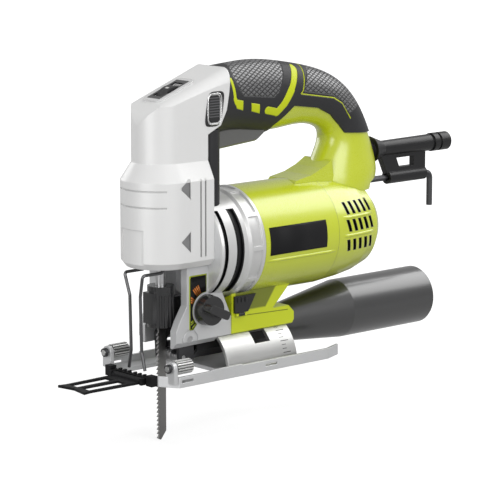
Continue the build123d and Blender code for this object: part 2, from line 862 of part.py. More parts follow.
# Bearings of the armature
with BuildPart() as front_bearing:
    add(x_cylinder(bearing_radius, front_bearing_x, front_bearing_x + bearing_width, motor_z))
    add(x_cylinder(shaft_radius + running_fit, -60, 0, motor_z), mode=Mode.SUBTRACT)
with BuildPart() as rear_bearing:
    add(x_cylinder(bearing_radius, rear_bearing_x, rear_bearing_x + bearing_width, motor_z))
    add(x_cylinder(shaft_radius + running_fit, -200, 0, motor_z), mode=Mode.SUBTRACT)

# Brush gear: two holders on the housing wall, each with its carbon brush
brush_x = commutator_front - commutator_length / 2
brush_reach = 20.0
brush_outer = sqrt((motor_radius - motor_wall - moving_gap) ** 2 - 6**2)
with BuildPart() as brush_holders:
    for side in (-1, 1):
        with Locations((brush_x, side * (brush_outer - brush_reach / 2), motor_z)):
            Box(10, brush_reach, 12)
            Box(6.4, brush_reach, 8.4, mode=Mode.SUBTRACT)
with BuildPart() as carbon_brushes:
    for side in (-1, 1):
        with Locations((brush_x, side * (commutator_radius + moving_gap + 8), motor_z)):
            Box(6.4, 16, 8.4)

# Drive gear with its crank pin, on a fixed axle
with BuildPart() as drive_gear:
    with BuildSketch(cross_plane(gear_front - gear_width)):
        with Locations((0, gear_z)):
            Polygon(
                *tooth_ring(
                    gear_teeth,
                    -pi / 2,
                    pressure_angle,
                    gear_pitch + addendum,
                    gear_pitch - dedendum,
                    backlash,
                ),
                align=None,
            )
    extrude(amount=gear_width)
    add(x_cylinder(axle_radius + running_fit, -40, 0, gear_z), mode=Mode.SUBTRACT)
    add(x_cylinder(crank_pin_radius, -40, 0, gear_z, crank_radius), mode=Mode.SUBTRACT)
yoke_rear = gear_front + 5
with BuildPart() as crank_pin:
    add(x_cylinder(crank_pin_radius, gear_front - gear_width, yoke_rear - moving_gap, gear_z, crank_radius))
with BuildPart() as gear_axle:
    add(x_cylinder(axle_radius, head_rear - 6, gear_front - moving_gap, gear_z))

# Plunger with its crosswise yoke
with BuildPart() as plunger:
    add(z_cylinder(plunger_radius, clamp_top - 8, plunger_top))
with BuildPart() as yoke:
    add(block((yoke_rear, -15, gear_z - 7), (-1.5, 15, gear_z + 7)))
    add(block((yoke_rear - 1, -12.3, gear_z - 3.3), (-3.9, 12.3, gear_z + 3.3)), mode=Mode.SUBTRACT)
    add(z_cylinder(plunger_radius, 0, 200), mode=Mode.SUBTRACT)

# Blade clamp: steel core on the plunger and the plastic sleeve that turns to let the blade go
with BuildPart() as clamp_core:
    add(z_cylinder(clamp_core_radius, clamp_bottom + 2, clamp_top - 3))
    add(z_cylinder(plunger_radius, clamp_top - 8, clamp_top), mode=Mode.SUBTRACT)
    blade_back = blade_front - blade_width
    add(
        block(
            (blade_back, -blade_thickness / 2, clamp_bottom),
            (blade_front, blade_thickness / 2, clamp_bottom + 19),
        ),
        mode=Mode.SUBTRACT,
    )
with BuildPart() as clamp_sleeve:
    add(z_cylinder(clamp_radius, clamp_bottom, clamp_top))
    add(block((0, -5, clamp_bottom + 3), (11.5, 5, clamp_top - 4)))
    add(block((-16, -2.6, clamp_bottom + 1), (0, 2.6, clamp_top - 9)))
    add(z_cylinder(clamp_core_radius + running_fit, clamp_bottom + 1, clamp_top - 2), mode=Mode.SUBTRACT)
    add(z_cylinder(plunger_radius + 0.5, clamp_bottom, clamp_top + 1), mode=Mode.SUBTRACT)
    add(z_cylinder(5.4, clamp_bottom - 1, clamp_bottom + 2), mode=Mode.SUBTRACT)
    # finger flutes down both flanks
    for flute in (50, 70, 90, 110, 130, -50, -70, -90, -110, -130):
        turn = flute * pi / 180
        flute_middle = ((clamp_radius + 0.5) * cos(turn), (clamp_radius + 0.5) * sin(turn))
        add(z_cylinder(1.2, clamp_bottom - 1, clamp_top - 6, *flute_middle), mode=Mode.SUBTRACT)

with BuildPart() as blade:
    tooth_count = int((clamp_bottom - blade_tip - 3) / tooth_pitch)
    edge = [(blade_front - 3.0, blade_tip)]
    for tooth in range(tooth_count):
        low = blade_tip + 1.5 + tooth * tooth_pitch
        edge += [(blade_front, low), (blade_front - tooth_depth, low + tooth_pitch * 0.75)]
    edge += [
        (blade_front - 1.2, clamp_bottom - 1),
        (blade_front - 1.2, clamp_bottom + 18.8),
        (blade_front - blade_width + 1.2, clamp_bottom + 18.8),
        (blade_front - blade_width + 1.2, clamp_bottom - 1),
        (blade_front - blade_width, clamp_bottom - 3),
        (blade_front - blade_width, blade_tip + 6),
    ]
    with BuildSketch(Plane.XZ):
        Polygon(*edge, align=None)
    extrude(amount=blade_thickness / 2, both=True)

# Pendulum fork with the grooved guide roller behind the blade
roller_x = blade_front - blade_width - moving_gap - roller_radius
fork_outer = cheek_inner - 0.4
fork_inner = fork_outer - 3.2
fork_pin_inner = fork_inner - 0.4
with BuildPart() as roller_fork:
    arm = [
        (fork_pivot[0] + 4.2, fork_pivot[1] + 1),
        (fork_pivot[0] + 1, fork_pivot[1] + 4.2),
        (-29, 38.5),
        (-32, 35.5),
        (fork_pivot[0] - 5, fork_pivot[1] - 3),
        (roller_x - 4, roller_z + 2),
        (roller_x - 3, roller_z - 3.6),
        (roller_x + 3, roller_z - 3.6),
        (roller_x + 3.6, roller_z + 2),
    ]
    for side in (-1, 1):
        low, high = sorted((side * fork_inner, side * fork_outer))
        add(side_block(arm, low, high))
    add(block((roller_x - 9, -fork_outer, roller_z - 2), (roller_x - 6, fork_outer, roller_z + 7)))
    add(block((roller_x - 9, fork_inner, roller_z - 2), (roller_x - 2, fork_outer, roller_z + 7)))
    add(block((roller_x - 9, -fork_outer, roller_z - 2), (roller_x - 2, -fork_inner, roller_z + 7)))
    add(y_cylinder(fork_pin_radius + running_fit, -20, 20, *fork_pivot), mode=Mode.SUBTRACT)
    add(y_cylinder(1.5, -20, 20, roller_x, roller_z), mode=Mode.SUBTRACT)
with BuildPart() as fork_pins:
    for side in (-1, 1):
        add(y_cylinder(fork_pin_radius, side * fork_pin_inner, side * (cheek_face - 0.6), *fork_pivot))
with BuildPart() as roller_pin:
    add(y_cylinder(1.5, -fork_outer, fork_outer, roller_x, roller_z))
with BuildPart() as guide_roller:
    add(y_cylinder(roller_radius, -4, -0.9, roller_x, roller_z))
    add(y_cylinder(roller_radius, 0.9, 4, roller_x, roller_z))
    add(y_cylinder(roller_radius - 1.2, -4, 4, roller_x, roller_z))  # floor of the blade's groove
    add(y_cylinder(1.5 + running_fit, -10, 10, roller_x, roller_z), mode=Mode.SUBTRACT)

# Orbital action knob on its cam shaft
with BuildPart() as orbital_knob:
    with BuildSketch(side_plane(cheek_face + moving_gap)):
        with Locations(knob_axis):
            Circle(knob_radius)
    extrude(amount=-7, taper=6)
    with BuildSketch(side_plane(cheek_face + 6)):
        with Locations(Location(knob_axis, 25)):
            RectangleRounded(2 * knob_radius - 3, 6, 2.2)
    extrude(amount=-(knob_height - 6))
    add(y_cylinder(2.6, 0, cheek_face + 6, *knob_axis), mode=Mode.SUBTRACT)
with BuildPart() as orbital_cam:
    add(y_cylinder(cam_radius, -16.5, cheek_face + moving_gap, *knob_axis))
    add(y_cylinder(2.6, cheek_face, cheek_face + 6, *knob_axis))
    add(block((-30, -cheek_inner, 30), (knob_axis[0] - 1.5, cheek_inner, 60)), mode=Mode.SUBTRACT)

# Hinge of the storage door along its lower edge
door_thickness = 1.8
door_y = saddle_half_width + moving_gap
door_knuckle = (-51.0, -56.0)
knuckle_radius = 1.2
door_pin_radius = 0.6
door_hinge = (door_y + knuckle_radius, 38.4)

# Foot: the leg under the motor, the blade pocket and the saddle that sits on the bevel bracket
with BuildPart() as foot:
    foot_side = [
        (case_rear, case_bottom + 1),
        (saddle_rear + 4, case_bottom + 1),
        (saddle_rear, 28),
        (saddle_rear, saddle_top - 5),
        (saddle_rear + 5, saddle_top),
        (-84, saddle_top),
        (-104, 58),
        (-60, 64),
        (case_rear, 64),
    ]
    add(side_block(foot_side, -saddle_half_width, saddle_half_width))
    add(x_cylinder(bracket_radius + moving_gap, case_rear + 1, saddle_rear - 1, 0), mode=Mode.SUBTRACT)
    add(x_cylinder(collar_radius, case_rear + 1, collar_rear, motor_z), mode=Mode.SUBTRACT)
    add(x_cylinder(motor_radius, collar_rear, -140, motor_z), mode=Mode.SUBTRACT)
    for side in (-1, 1):
        corner = side * (saddle_half_width + 1)
        with BuildSketch(cross_plane(saddle_rear - 1)):
            Polygon(
                (0, bevel_offset - 25),
                (0, bevel_offset),
                (corner, bevel_offset + saddle_half_width + 1),
                (corner, bevel_offset - 25),
                align=None,
            )
        extrude(amount=case_rear - saddle_rear + 2, mode=Mode.SUBTRACT)
    pocket = [(-49, 41), (-59, 41), (-65, 51), (-49, 51)]
    add(side_block(pocket, 2, saddle_half_width + 1), mode=Mode.SUBTRACT)
    add(block((saddle_rear - 1, -5, 33.4), (saddle_rear + 6.5, 5, 36.6)), mode=Mode.SUBTRACT)
    add(z_cylinder(bevel_screw_radius, 0, bevel_screw_top, bevel_screw_x), mode=Mode.SUBTRACT)
    # two lugs with the pin of the storage door
    for lug_x in (door_knuckle[0] + moving_gap, door_knuckle[1] - moving_gap - 2):
        lug_low = (lug_x, saddle_half_width - 1, door_hinge[1] - 1.1)
        add(block(lug_low, (lug_x + 2, door_hinge[0] + 0.8, door_hinge[1] + 0.9)))
    pin_ends = (door_knuckle[0] + 2, door_knuckle[1] - 2)
    add(x_cylinder(door_pin_radius, *pin_ends, door_hinge[1], door_hinge[0]))

# Storage door over the blade pocket
with BuildPart() as storage_door:
    door_bottom = door_hinge[1] + 1.5
    door = [(-47.5, door_bottom), (-59.5, door_bottom), (-66.5, 51.5), (-47.5, 51.5)]
    add(side_block(door, door_y, door_y + door_thickness))
    web_low = (door_knuckle[1], door_y, door_hinge[1])
    add(block(web_low, (door_knuckle[0], door_y + door_thickness, door_bottom + 0.5)))
    add(x_cylinder(knuckle_radius, *door_knuckle, door_hinge[1], door_hinge[0]))
    pin_bore = door_pin_radius + running_fit
    add(x_cylinder(pin_bore, -40, -70, door_hinge[1], door_hinge[0]), mode=Mode.SUBTRACT)
    # finger ribs across the free edge
    for rib in range(3):
        rib_x = -50.5 - rib * 3.4
        add(block((rib_x - 1, door_y, 47), (rib_x + 1, door_y + door_thickness + 0.7, 50.5)))

# Bevel bracket: an arched plate about the X axis, with an arc slot for the clamp screw
bracket_inner = bracket_radius - bracket_wall
slot_reach = (bevel_limit + 12) * pi / 180
flange_reach = shoe_half_width - 4
flange_floor = plate_thickness + flange_rise - bracket_wall
flange_ends = (bracket_rear + 4, bracket_front - 4)
with BuildPart() as bevel_bracket:
    add(x_cylinder(bracket_radius, bracket_front, bracket_rear, 0))
    add(x_cylinder(bracket_inner, bracket_front + 1, bracket_rear - 1, 0), mode=Mode.SUBTRACT)
    add(block((-200, -50, -50), (50, 50, plate_thickness)), mode=Mode.SUBTRACT)
    with BuildSketch(cross_plane(bevel_screw_x - 7)):
        Polygon(
            (0, 0),
            (60 * sin(slot_reach), 60 * cos(slot_reach)),
            (60 * sin(slot_reach), 60),
            (-60 * sin(slot_reach), 60),
            (-60 * sin(slot_reach), 60 * cos(slot_reach)),
            align=None,
        )
    extrude(amount=14, mode=Mode.SUBTRACT)
    for side in (-1, 1):
        low, high = sorted((side * bracket_inner, side * flange_reach))
        flange_top = plate_thickness + flange_rise
        add(block((flange_ends[0], low, flange_floor), (flange_ends[1], high, flange_top)))
    add(x_cylinder(bracket_inner, bracket_front + 1, bracket_rear - 1, 0), mode=Mode.SUBTRACT)

# Bevel clamp under the arch: a curved pad and its socket screw
pad_outer = bracket_inner - moving_gap
pad_floor = pad_outer - 3.7
with BuildPart() as clamp_pad:
    add(x_cylinder(pad_outer, bevel_screw_x - 5, bevel_screw_x + 5, 0))
    add(block((-90, -8, pad_floor), (-50, 8, 40)), mode=Mode.INTERSECT)
    add(z_cylinder(bevel_screw_radius, 0, 60, bevel_screw_x), mode=Mode.SUBTRACT)

with BuildPart() as bevel_screw:
    add(z_cylinder(bevel_screw_radius, pad_floor, bevel_screw_top, bevel_screw_x))
    add(z_cylinder(4.8, pad_floor - 4, pad_floor, bevel_screw_x))
    add(z_cylinder(2.3, pad_floor - 5, pad_floor - 1.4, bevel_screw_x), mode=Mode.SUBTRACT)

# Shoe: cast plate with a rim, a front notch round the blade and a notch for the dust tube
with BuildPart() as shoe_plate:
    outline = [
        (shoe_front, notch_half_width),
        (shoe_front, 26),
        (shoe_front - 8, shoe_half_width),
        (-120, shoe_half_width),
        (shoe_rear, shoe_half_width - 6),
        (shoe_rear, tail_notch_half_width + 2),
        (tail_notch_front - 4, tail_notch_half_width),
        (tail_notch_front, tail_notch_half_width - 6),
    ]
    outline += [(x, -y) for x, y in outline[::-1]]
    with BuildSketch(Plane.XY):
        Polygon(*outline, align=None)
        with Locations(((notch_rear + shoe_front) / 2 + 10, 0)):
            Rectangle(shoe_front - notch_rear + 20, 2 * notch_half_width, mode=Mode.SUBTRACT)
    extrude(amount=plate_thickness)
    for side in (-1, 1):
        outer = side * shoe_half_width
        inside = side * (shoe_half_width - rim_width)
        rim = [
            (shoe_front, side * 26),
            (shoe_front - 8, outer),
            (-120, outer),
            (shoe_rear, side * (shoe_half_width - 6)),
            (shoe_rear, side * (shoe_half_width - 6 - rim_width)),
            (-119.6, inside),
            (shoe_front - 9.2, inside),
            (shoe_front, side * (26 - rim_width)),
        ]
        with BuildSketch(Plane.XY.offset(plate_thickness)):
            Polygon(*rim, align=None)
        extrude(amount=rim_height - plate_thickness)
        ridge = [(-12, outer), (-40, outer), (-40, inside), (-12, inside)]
        with BuildSketch(Plane.XY.offset(rim_height)):
            Polygon(*ridge, align=None)
        extrude(amount=ridge_height - rim_height)
        # two slots through the rim, and the bed of the bracket's flange
        low, high = sorted((side * (shoe_half_width - rim_width - 1), side * (shoe_half_width + 1)))
        for slot in ((4.0, 14.0), (-72.0, -61.0)):
            add(block((slot[0], low, 3.2), (slot[1], high, 5.2)), mode=Mode.SUBTRACT)
        low, high = sorted((side * (bracket_inner - 0.1), side * flange_reach))
        add(block((flange_ends[0], low, flange_floor), (flange_ends[1], high, 4)), mode=Mode.SUBTRACT)
        # lug of the thumb screw
        with BuildSketch(cross_plane(lug_rear)):
            with Locations((side * thumb_y, thumb_z)):
                Circle(4.4)
            with Locations((side * thumb_y, (thumb_z + plate_thickness) / 2)):
                Rectangle(8.8, thumb_z - plate_thickness)
        extrude(amount=3)
        add(x_cylinder(2 + running_fit, 0, 40, thumb_z, side * thumb_y), mode=Mode.SUBTRACT)

# Thumb screws in the lugs at the front corners
thumb_screws = {}
for name, side in (("thumb_screw_left", 1), ("thumb_screw_right", -1)):
    with BuildPart() as thumb_screw:
        with BuildSketch(cross_plane(thumb_x[0])):
            with Locations((side * thumb_y, thumb_z)):
                Circle(thumb_radius)
                with PolarLocations(thumb_radius + 0.1, 16):
                    Circle(0.55, mode=Mode.SUBTRACT)
        extrude(amount=thumb_x[1] - thumb_x[0])
        add(x_cylinder(2, thumb_x[1], lug_rear + 6, thumb_z, side * thumb_y))
    thumb_screws[name] = thumb_screw

# Guide bar across the front of the shoe and the two-tined cut guide hinged on it
hinge_x = shoe_front + 5.4
hinge_z = 2.9
bar_half = 25.0
with BuildPart() as guide_bar:
    add(block((shoe_front, -bar_half, 0.2), (shoe_front + 3, bar_half, 5.2)))
    for side in (-1, 1):
        add(block((shoe_front + 2, side * 16.2 - 1.2, 0.4), (hinge_x + 2.2, side * 16.2 + 1.2, 5.2)))
        low, high = sorted((side * (bar_half - 6), side * bar_half))
        add(block((shoe_front, low, 0.2), (shoe_front + 5, high, 7.4)))
        # cross ribs on top of the bar
        for rib_y in (3.0, 8.0, 13.0):
            rib_low = (shoe_front, side * rib_y - 0.8, 5)
            add(block(rib_low, (shoe_front + 2.4, side * rib_y + 0.8, 6.6)))
    add(y_cylinder(1.2, -17.4, 17.4, hinge_x, hinge_z))
guide_tip = 77.5
guide_half = 14.6
with BuildPart() as cut_guide:
    add(y_cylinder(2.1, -guide_half, guide_half, hinge_x, hinge_z))
    with BuildSketch(Plane.XY.offset(hinge_z - 2.1)):
        Polygon(
            (hinge_x, guide_half),
            (guide_tip - 6, guide_half - 1.4),
            (guide_tip, guide_half - 0.2),
            (guide_tip - 2.6, 0),
            (guide_tip, 0.2 - guide_half),
            (guide_tip - 6, 1.4 - guide_half),
            (hinge_x, -guide_half),
            align=None,
        )
        for side in (-1, 1):
            Polygon(
                (hinge_x + 10, side * 1.8),
                (guide_tip - 6.5, side * 1.4),
                (guide_tip - 6.5, side * (guide_half - 3.4)),
                (hinge_x + 10, side * (guide_half - 3.0)),
                align=None,
                mode=Mode.SUBTRACT,
            )
    extrude(amount=1.7)
    add(y_cylinder(1.2 + running_fit, -20, 20, hinge_x, hinge_z), mode=Mode.SUBTRACT)

# Wire guard in front of the blade
wire_radius = 1.1
with BuildPart() as wire_guard:
    for side in (-1, 1):
        with BuildLine() as wire_path:
            FilletPolyline(
                (6, side * 9.7, lower_bush[0] + 4),
                (6, side * 9.7, 73.2),
                (23.6, side * 9.7, 73.2),
                (22.4, side * 5.6, 58),
                (21.6, side * 5.6, 20),
                (21.2, side * 8.6, 7.4),
                radius=2,
            )
        with BuildSketch(Plane(origin=(6, side * 9.7, lower_bush[0] + 4), z_dir=(0, 0, -1))):
            Circle(wire_radius)
        sweep(path=wire_path.line)

# Dust tube: a tongue in the saddle, a neck and a flared outlet for a hose
neck_x = saddle_rear - moving_gap
neck = (neck_x - 4, 22.0, 11.0, 14.0)  # X, middle height, half width and half height of its oval


def oval_cone(start, end):
    """A loft between two upright ovals, each given by X, middle height, half width and half height."""
    rings = []
    for x, z, half_y, half_z in (start, end):
        with BuildSketch(cross_plane(x)) as ring:
            with Locations((0, z)):
                Ellipse(half_y, half_z)
        rings.append(ring.sketch)
    with BuildPart() as cone:
        loft(sections=rings)
    return cone.part


flare_x = -163.0
tube_bore = tube_radius - tube_wall
with BuildPart() as dust_tube:
    add(oval_cone(neck, (flare_x, tube_z, tube_radius, tube_radius)))
    add(x_cylinder(tube_radius, flare_x, tube_rear, tube_z))
    with BuildSketch(cross_plane(neck[0])):
        with Locations((0, neck[1])):
            Ellipse(neck[2], neck[3])
    extrude(amount=neck_x - neck[0])
    add(block((neck_x, -4.7, 33.7), (saddle_rear + 6, 4.7, 36.3)))
    add(block((neck_x - 3, -4.7, 30), (neck_x, 4.7, 36.3)))
    inside_neck = (neck[0], neck[1] - 1.5, neck[2] - 3.5, neck[3] - 5)
    add(oval_cone(inside_neck, (flare_x, tube_z, tube_bore, tube_bore)), mode=Mode.SUBTRACT)
    add(x_cylinder(tube_bore, flare_x, tube_rear - 1, tube_z), mode=Mode.SUBTRACT)
    add(x_cylinder(plug_radius, neck_x + 1, neck[0] - 2, plug_z), mode=Mode.SUBTRACT)
    # bead round the mouth
    add(x_cylinder(tube_radius, tube_rear, tube_rear + 1, tube_z), mode=Mode.SUBTRACT)
    with BuildSketch(cross_plane(tube_rear)):
        with Locations((0, tube_z)):
            Circle(tube_radius - 0.6)
            Circle(tube_bore, mode=Mode.SUBTRACT)
    extrude(amount=1)

# Dust nozzle: the duct under the arch, plugged into the tube, with a keel that clears the tilted shoe
with BuildPart() as dust_nozzle:
    for inset, start, end, mode in (
        (0, neck_x, duct_front, Mode.ADD),
        (duct_wall, neck_x + 2, duct_front + 1, Mode.SUBTRACT),
    ):
        keel = 8.7 + inset
        waist = 15.2 + inset / 2
        with BuildSketch(cross_plane(start)):
            Polygon(
                (3.5 - inset / 2, keel),
                (10 - inset, waist),
                (10 - inset, 20.8 - inset),
                (inset - 10, 20.8 - inset),
                (inset - 10, waist),
                (inset / 2 - 3.5, keel),
                align=None,
            )
        extrude(amount=end - start, mode=mode)
    add(x_cylinder(plug_radius, neck[0] - 2, neck_x, plug_z))
    add(x_cylinder(plug_radius - 1.2, neck[0] - 3, neck_x + 3, plug_z), mode=Mode.SUBTRACT)

pieces = {
    "gear_head": gear_head,
    "lock_button": lock_button,
    "speed_dial": speed_dial,
    "dial_window": dial_window,
    "gear_case": gear_case,
    "lower_bush": lower_bush_ring,
    "upper_bush": upper_bush_ring,
    "motor_collar": motor_collar,
    "fan_baffle": fan_baffle,
    "motor_housing": motor_housing,
    "handle_left": handle_left,
    "handle_right": handle_right,
    "grip_cover": grip_cover,
    "trigger": trigger,
    "switch_module": switch_module,
    "rear_cap": rear_cap,
    "cord_guard": cord_guard,
    "hex_key": hex_key,
    "armature_shaft": armature_shaft,
    "pinion": pinion,
    "armature_core": armature_core,
    "armature_windings": armature_windings,
    "commutator": commutator,
    "cooling_fan": cooling_fan,
    "field_core": field_core,
    "field_coils": field_coils,
    "front_bearing": front_bearing,
    "rear_bearing": rear_bearing,
    "brush_holders": brush_holders,
    "carbon_brushes": carbon_brushes,
    "drive_gear": drive_gear,
    "crank_pin": crank_pin,
    "gear_axle": gear_axle,
    "plunger": plunger,
    "yoke": yoke,
    "clamp_core": clamp_core,
    "clamp_sleeve": clamp_sleeve,
    "blade": blade,
    "roller_fork": roller_fork,
    "fork_pins": fork_pins,
    "roller_pin": roller_pin,
    "guide_roller": guide_roller,
    "orbital_knob": orbital_knob,
    "orbital_cam": orbital_cam,
    "foot": foot,
    "storage_door": storage_door,
    "bevel_bracket": bevel_bracket,
    "clamp_pad": clamp_pad,
    "bevel_screw": bevel_screw,
    "shoe_plate": shoe_plate,
    "guide_bar": guide_bar,
    "cut_guide": cut_guide,
    "wire_guard": wire_guard,
    "dust_tube": dust_tube,
    "dust_nozzle": dust_nozzle,
    **thumb_screws,
}
for name, piece in pieces.items():
    finish(piece, name)
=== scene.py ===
"""Looks of a corded jigsaw with a D handle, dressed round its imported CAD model, in metres."""

from math import hypot, pi, radians

import bpy
import numpy as np
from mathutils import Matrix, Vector


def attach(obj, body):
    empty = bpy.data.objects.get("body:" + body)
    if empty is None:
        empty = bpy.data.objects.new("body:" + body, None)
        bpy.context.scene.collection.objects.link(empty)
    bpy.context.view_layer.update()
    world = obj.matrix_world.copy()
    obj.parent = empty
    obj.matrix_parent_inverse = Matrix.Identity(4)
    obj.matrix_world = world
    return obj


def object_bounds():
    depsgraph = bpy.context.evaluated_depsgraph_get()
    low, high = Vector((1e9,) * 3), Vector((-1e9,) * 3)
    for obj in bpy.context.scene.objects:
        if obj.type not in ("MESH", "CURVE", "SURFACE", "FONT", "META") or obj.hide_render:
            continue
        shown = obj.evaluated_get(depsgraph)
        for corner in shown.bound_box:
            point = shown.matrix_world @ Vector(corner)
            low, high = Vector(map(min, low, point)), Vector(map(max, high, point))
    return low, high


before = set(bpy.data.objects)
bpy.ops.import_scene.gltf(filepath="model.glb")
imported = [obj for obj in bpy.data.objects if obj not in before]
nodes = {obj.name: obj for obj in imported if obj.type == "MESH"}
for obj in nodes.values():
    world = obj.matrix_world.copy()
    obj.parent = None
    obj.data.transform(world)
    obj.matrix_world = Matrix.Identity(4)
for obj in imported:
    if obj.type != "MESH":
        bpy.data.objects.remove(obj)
cad_box = [list(corner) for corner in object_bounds()]
scene = bpy.context.scene
scene.view_settings.view_transform = "Standard"


# The camera stands where the photographer's did: left of the tool, in front of it and a little above,
# a long way off with a long lens.
aim = Vector((-0.081, 0.0, 0.07707))
toward_camera = Vector((0.6516, 0.7372, 0.1790))
camera_distance = 1.75212
camera_data = bpy.data.cameras.new("camera")
camera_data.lens = 180.34
camera_data.sensor_width = 36.0
camera_data.clip_end = 20.0
camera = bpy.data.objects.new("camera", camera_data)
camera.location = aim + camera_distance * toward_camera.normalized()
camera.rotation_euler = toward_camera.to_track_quat("Z", "Y").to_euler()
scene.collection.objects.link(camera)
scene.camera = camera


# Gear head and collar: die castings with a satin silver coat, screwed to the front of the motor. The coat
# is a little cloudy, has a fine orange-peel grain and is rubbed bright along its edges.
class Value:
    """A shader output. Arithmetic on it adds Math nodes to the same tree."""

    def __init__(self, tree, socket=None):
        self.tree = tree
        self.socket = socket

    def maths(self, operation, first, second):
        """One Math node with two inputs, each a value or a number."""
        return self.node("ShaderNodeMath", {"operation": operation}, {0: first, 1: second})

    def __add__(self, other):
        return self.maths("ADD", self, other)

    __radd__ = __add__

    def __mul__(self, other):
        return self.maths("MULTIPLY", self, other)

    __rmul__ = __mul__

    def __sub__(self, other):
        return self.maths("SUBTRACT", self, other)

    def __rsub__(self, other):
        return self.maths("SUBTRACT", other, self)

    def __gt__(self, other):
        return self.maths("GREATER_THAN", self, other)

    def __lt__(self, other):
        return self.maths("LESS_THAN", self, other)

    def node(self, kind, settings=None, inputs=None, output=0):
        """Add one node: its settings first, then a value or a link for each named or numbered socket."""
        made = self.tree.nodes.new(kind)
        for name, setting in (settings or {}).items():
            setattr(made, name, setting)
        for name, given in (inputs or {}).items():
            if isinstance(given, Value):
                self.tree.links.new(given.socket, made.inputs[name])
            else:
                made.inputs[name].default_value = given
        return Value(self.tree, made.outputs[output] if made.outputs else None)


def new_finish(name):
    """An empty material: returns it, a Value to build with, and its object coordinates."""
    material = bpy.data.materials.new(name)
    material.use_nodes = True
    material.node_tree.nodes.clear()
    build = Value(material.node_tree)
    place = build.node("ShaderNodeTexCoord", output="Object")
    return material, build, place


def close_finish(build, fixed, varying):
    """The surface: a Principled shader with its fixed sockets set and its varying ones linked."""
    surface = build.node("ShaderNodeBsdfPrincipled", None, {**fixed, **varying})
    build.node("ShaderNodeOutputMaterial", None, {"Surface": surface})


def noise(build, place, scale, detail=3.0, stretch=(1.0, 1.0, 1.0)):
    """Cloudy noise from 0 to 1 on object coordinates, stretched along an axis where asked."""
    placed = build.node("ShaderNodeMapping", None, {"Vector": place, "Scale": stretch})
    return build.node("ShaderNodeTexNoise", None, {"Vector": placed, "Scale": scale, "Detail": detail})


def mixed(build, mask, first, second):
    """A colour that goes from first to second as the mask goes from 0 to 1."""
    settings = {"data_type": "RGBA", "blend_type": "MIX"}
    return build.node("ShaderNodeMix", settings, {0: mask, 6: first, 7: second}, output=2)


def edge_mask(build, radius):
    """A rounded normal, and about 1 on a sharp edge and 0 on a flat: how far it leaves the true one."""
    rounded = build.node("ShaderNodeBevel", {"samples": 4}, {"Radius": radius})
    true = build.node("ShaderNodeNewGeometry", output="Normal")
    dot = {"operation": "DOT_PRODUCT"}
    along = build.node("ShaderNodeVectorMath", dot, {0: rounded, 1: true}, output="Value")
    return rounded, 1 - along


def rgba(colour):
    """The colour with full alpha, as sockets take it."""
    return (*colour, 1.0)


def bumped(build, strength, depth, height, normal):
    """A normal tilted by a height that varies, over another normal."""
    sockets = {"Strength": strength, "Distance": depth, "Height": height, "Normal": normal}
    return build.node("ShaderNodeBump", None, sockets)


edge_radius, grain_depth = 0.0006, 0.0002
cloud_scale, grain_scale, grain_detail = 18.0, 2600.0, 2.0
rubbed = 0.25  # how far a worn edge goes towards white


def satin(
    name, colour, roughness, grain, metallic=0.0, wear=0.25, drift=0.06, coat=0.0, specular=0.5, paint=None
):
    """Moulded plastic or paint: a base that drifts, fine grain, edges rubbed lighter. paint(build, place,
    body) may lay further colour over the base."""
    material, build, place = new_finish(name)
    rounded, edge = edge_mask(build, edge_radius)
    cloud = noise(build, place, cloud_scale)
    speck = noise(build, place, grain_scale, grain_detail)
    dark = rgba([c * (1 - drift) for c in colour])
    light = rgba([min(1.0, c * (1 + drift)) for c in colour])
    body = mixed(build, cloud, dark, light)
    body = mixed(build, edge * wear, body, rgba([c + (1 - c) * rubbed for c in colour]))
    if paint:
        body = paint(build, place, body)
    rough = roughness - 0.06 + cloud * 0.06 + speck * 0.06
    normal = bumped(build, grain, grain_depth, speck, rounded)
    fixed = {
        "Metallic": metallic,
        "Coat Weight": coat,
        "Coat Roughness": 0.2,
        "Specular IOR Level": specular,
    }
    close_finish(build, fixed, {"Base Color": body, "Roughness": rough, "Normal": normal})
    return material


def dress(material, *names):
    """Give CAD nodes this finish."""
    for name in names:
        slots = nodes[name].data.materials
        slots.clear()
        slots.append(material)


def axes(build, place):
    """The three object coordinates, each as a value."""
    return [build.node("ShaderNodeSeparateXYZ", None, {0: place}, output=axis) for axis in range(3)]


def between(value, low, high):
    """1 inside the two limits, 0 outside."""
    return (value > low) * (value < high)


motor_z = 0.0864
motor_radius = 0.0384


def from_motor_axis(build, y, z):
    """Distance from the motor's axis, which runs along X."""
    height = z - motor_z
    return build.maths("POWER", y * y + height * height, 0.5)


groove_side, groove_x, groove_z = (0.0249, 0.0264), (-0.0195, 0.0025), (0.084, 0.1355)
nose_skin, nose_back = (0.0258, 0.0267), 0.0005
nose_rings = ((0.1188, 0.1202), (0.1298, 0.1312))
front_slot, rear_slot, slot_floor = (-0.0303, -0.0269), (-0.0423, -0.0385), 0.0358
lip_x, lip_z, lip_side = (-0.0434, -0.0370), (motor_z - 0.0305, motor_z + 0.0275), 0.018
# Colours of painted shade: a grey in the grooves and notches, near black inside the slots and on the lip.
groove_shade = (0.11, 0.11, 0.115, 1)
slot_shade_black = (0.010, 0.010, 0.011, 1)


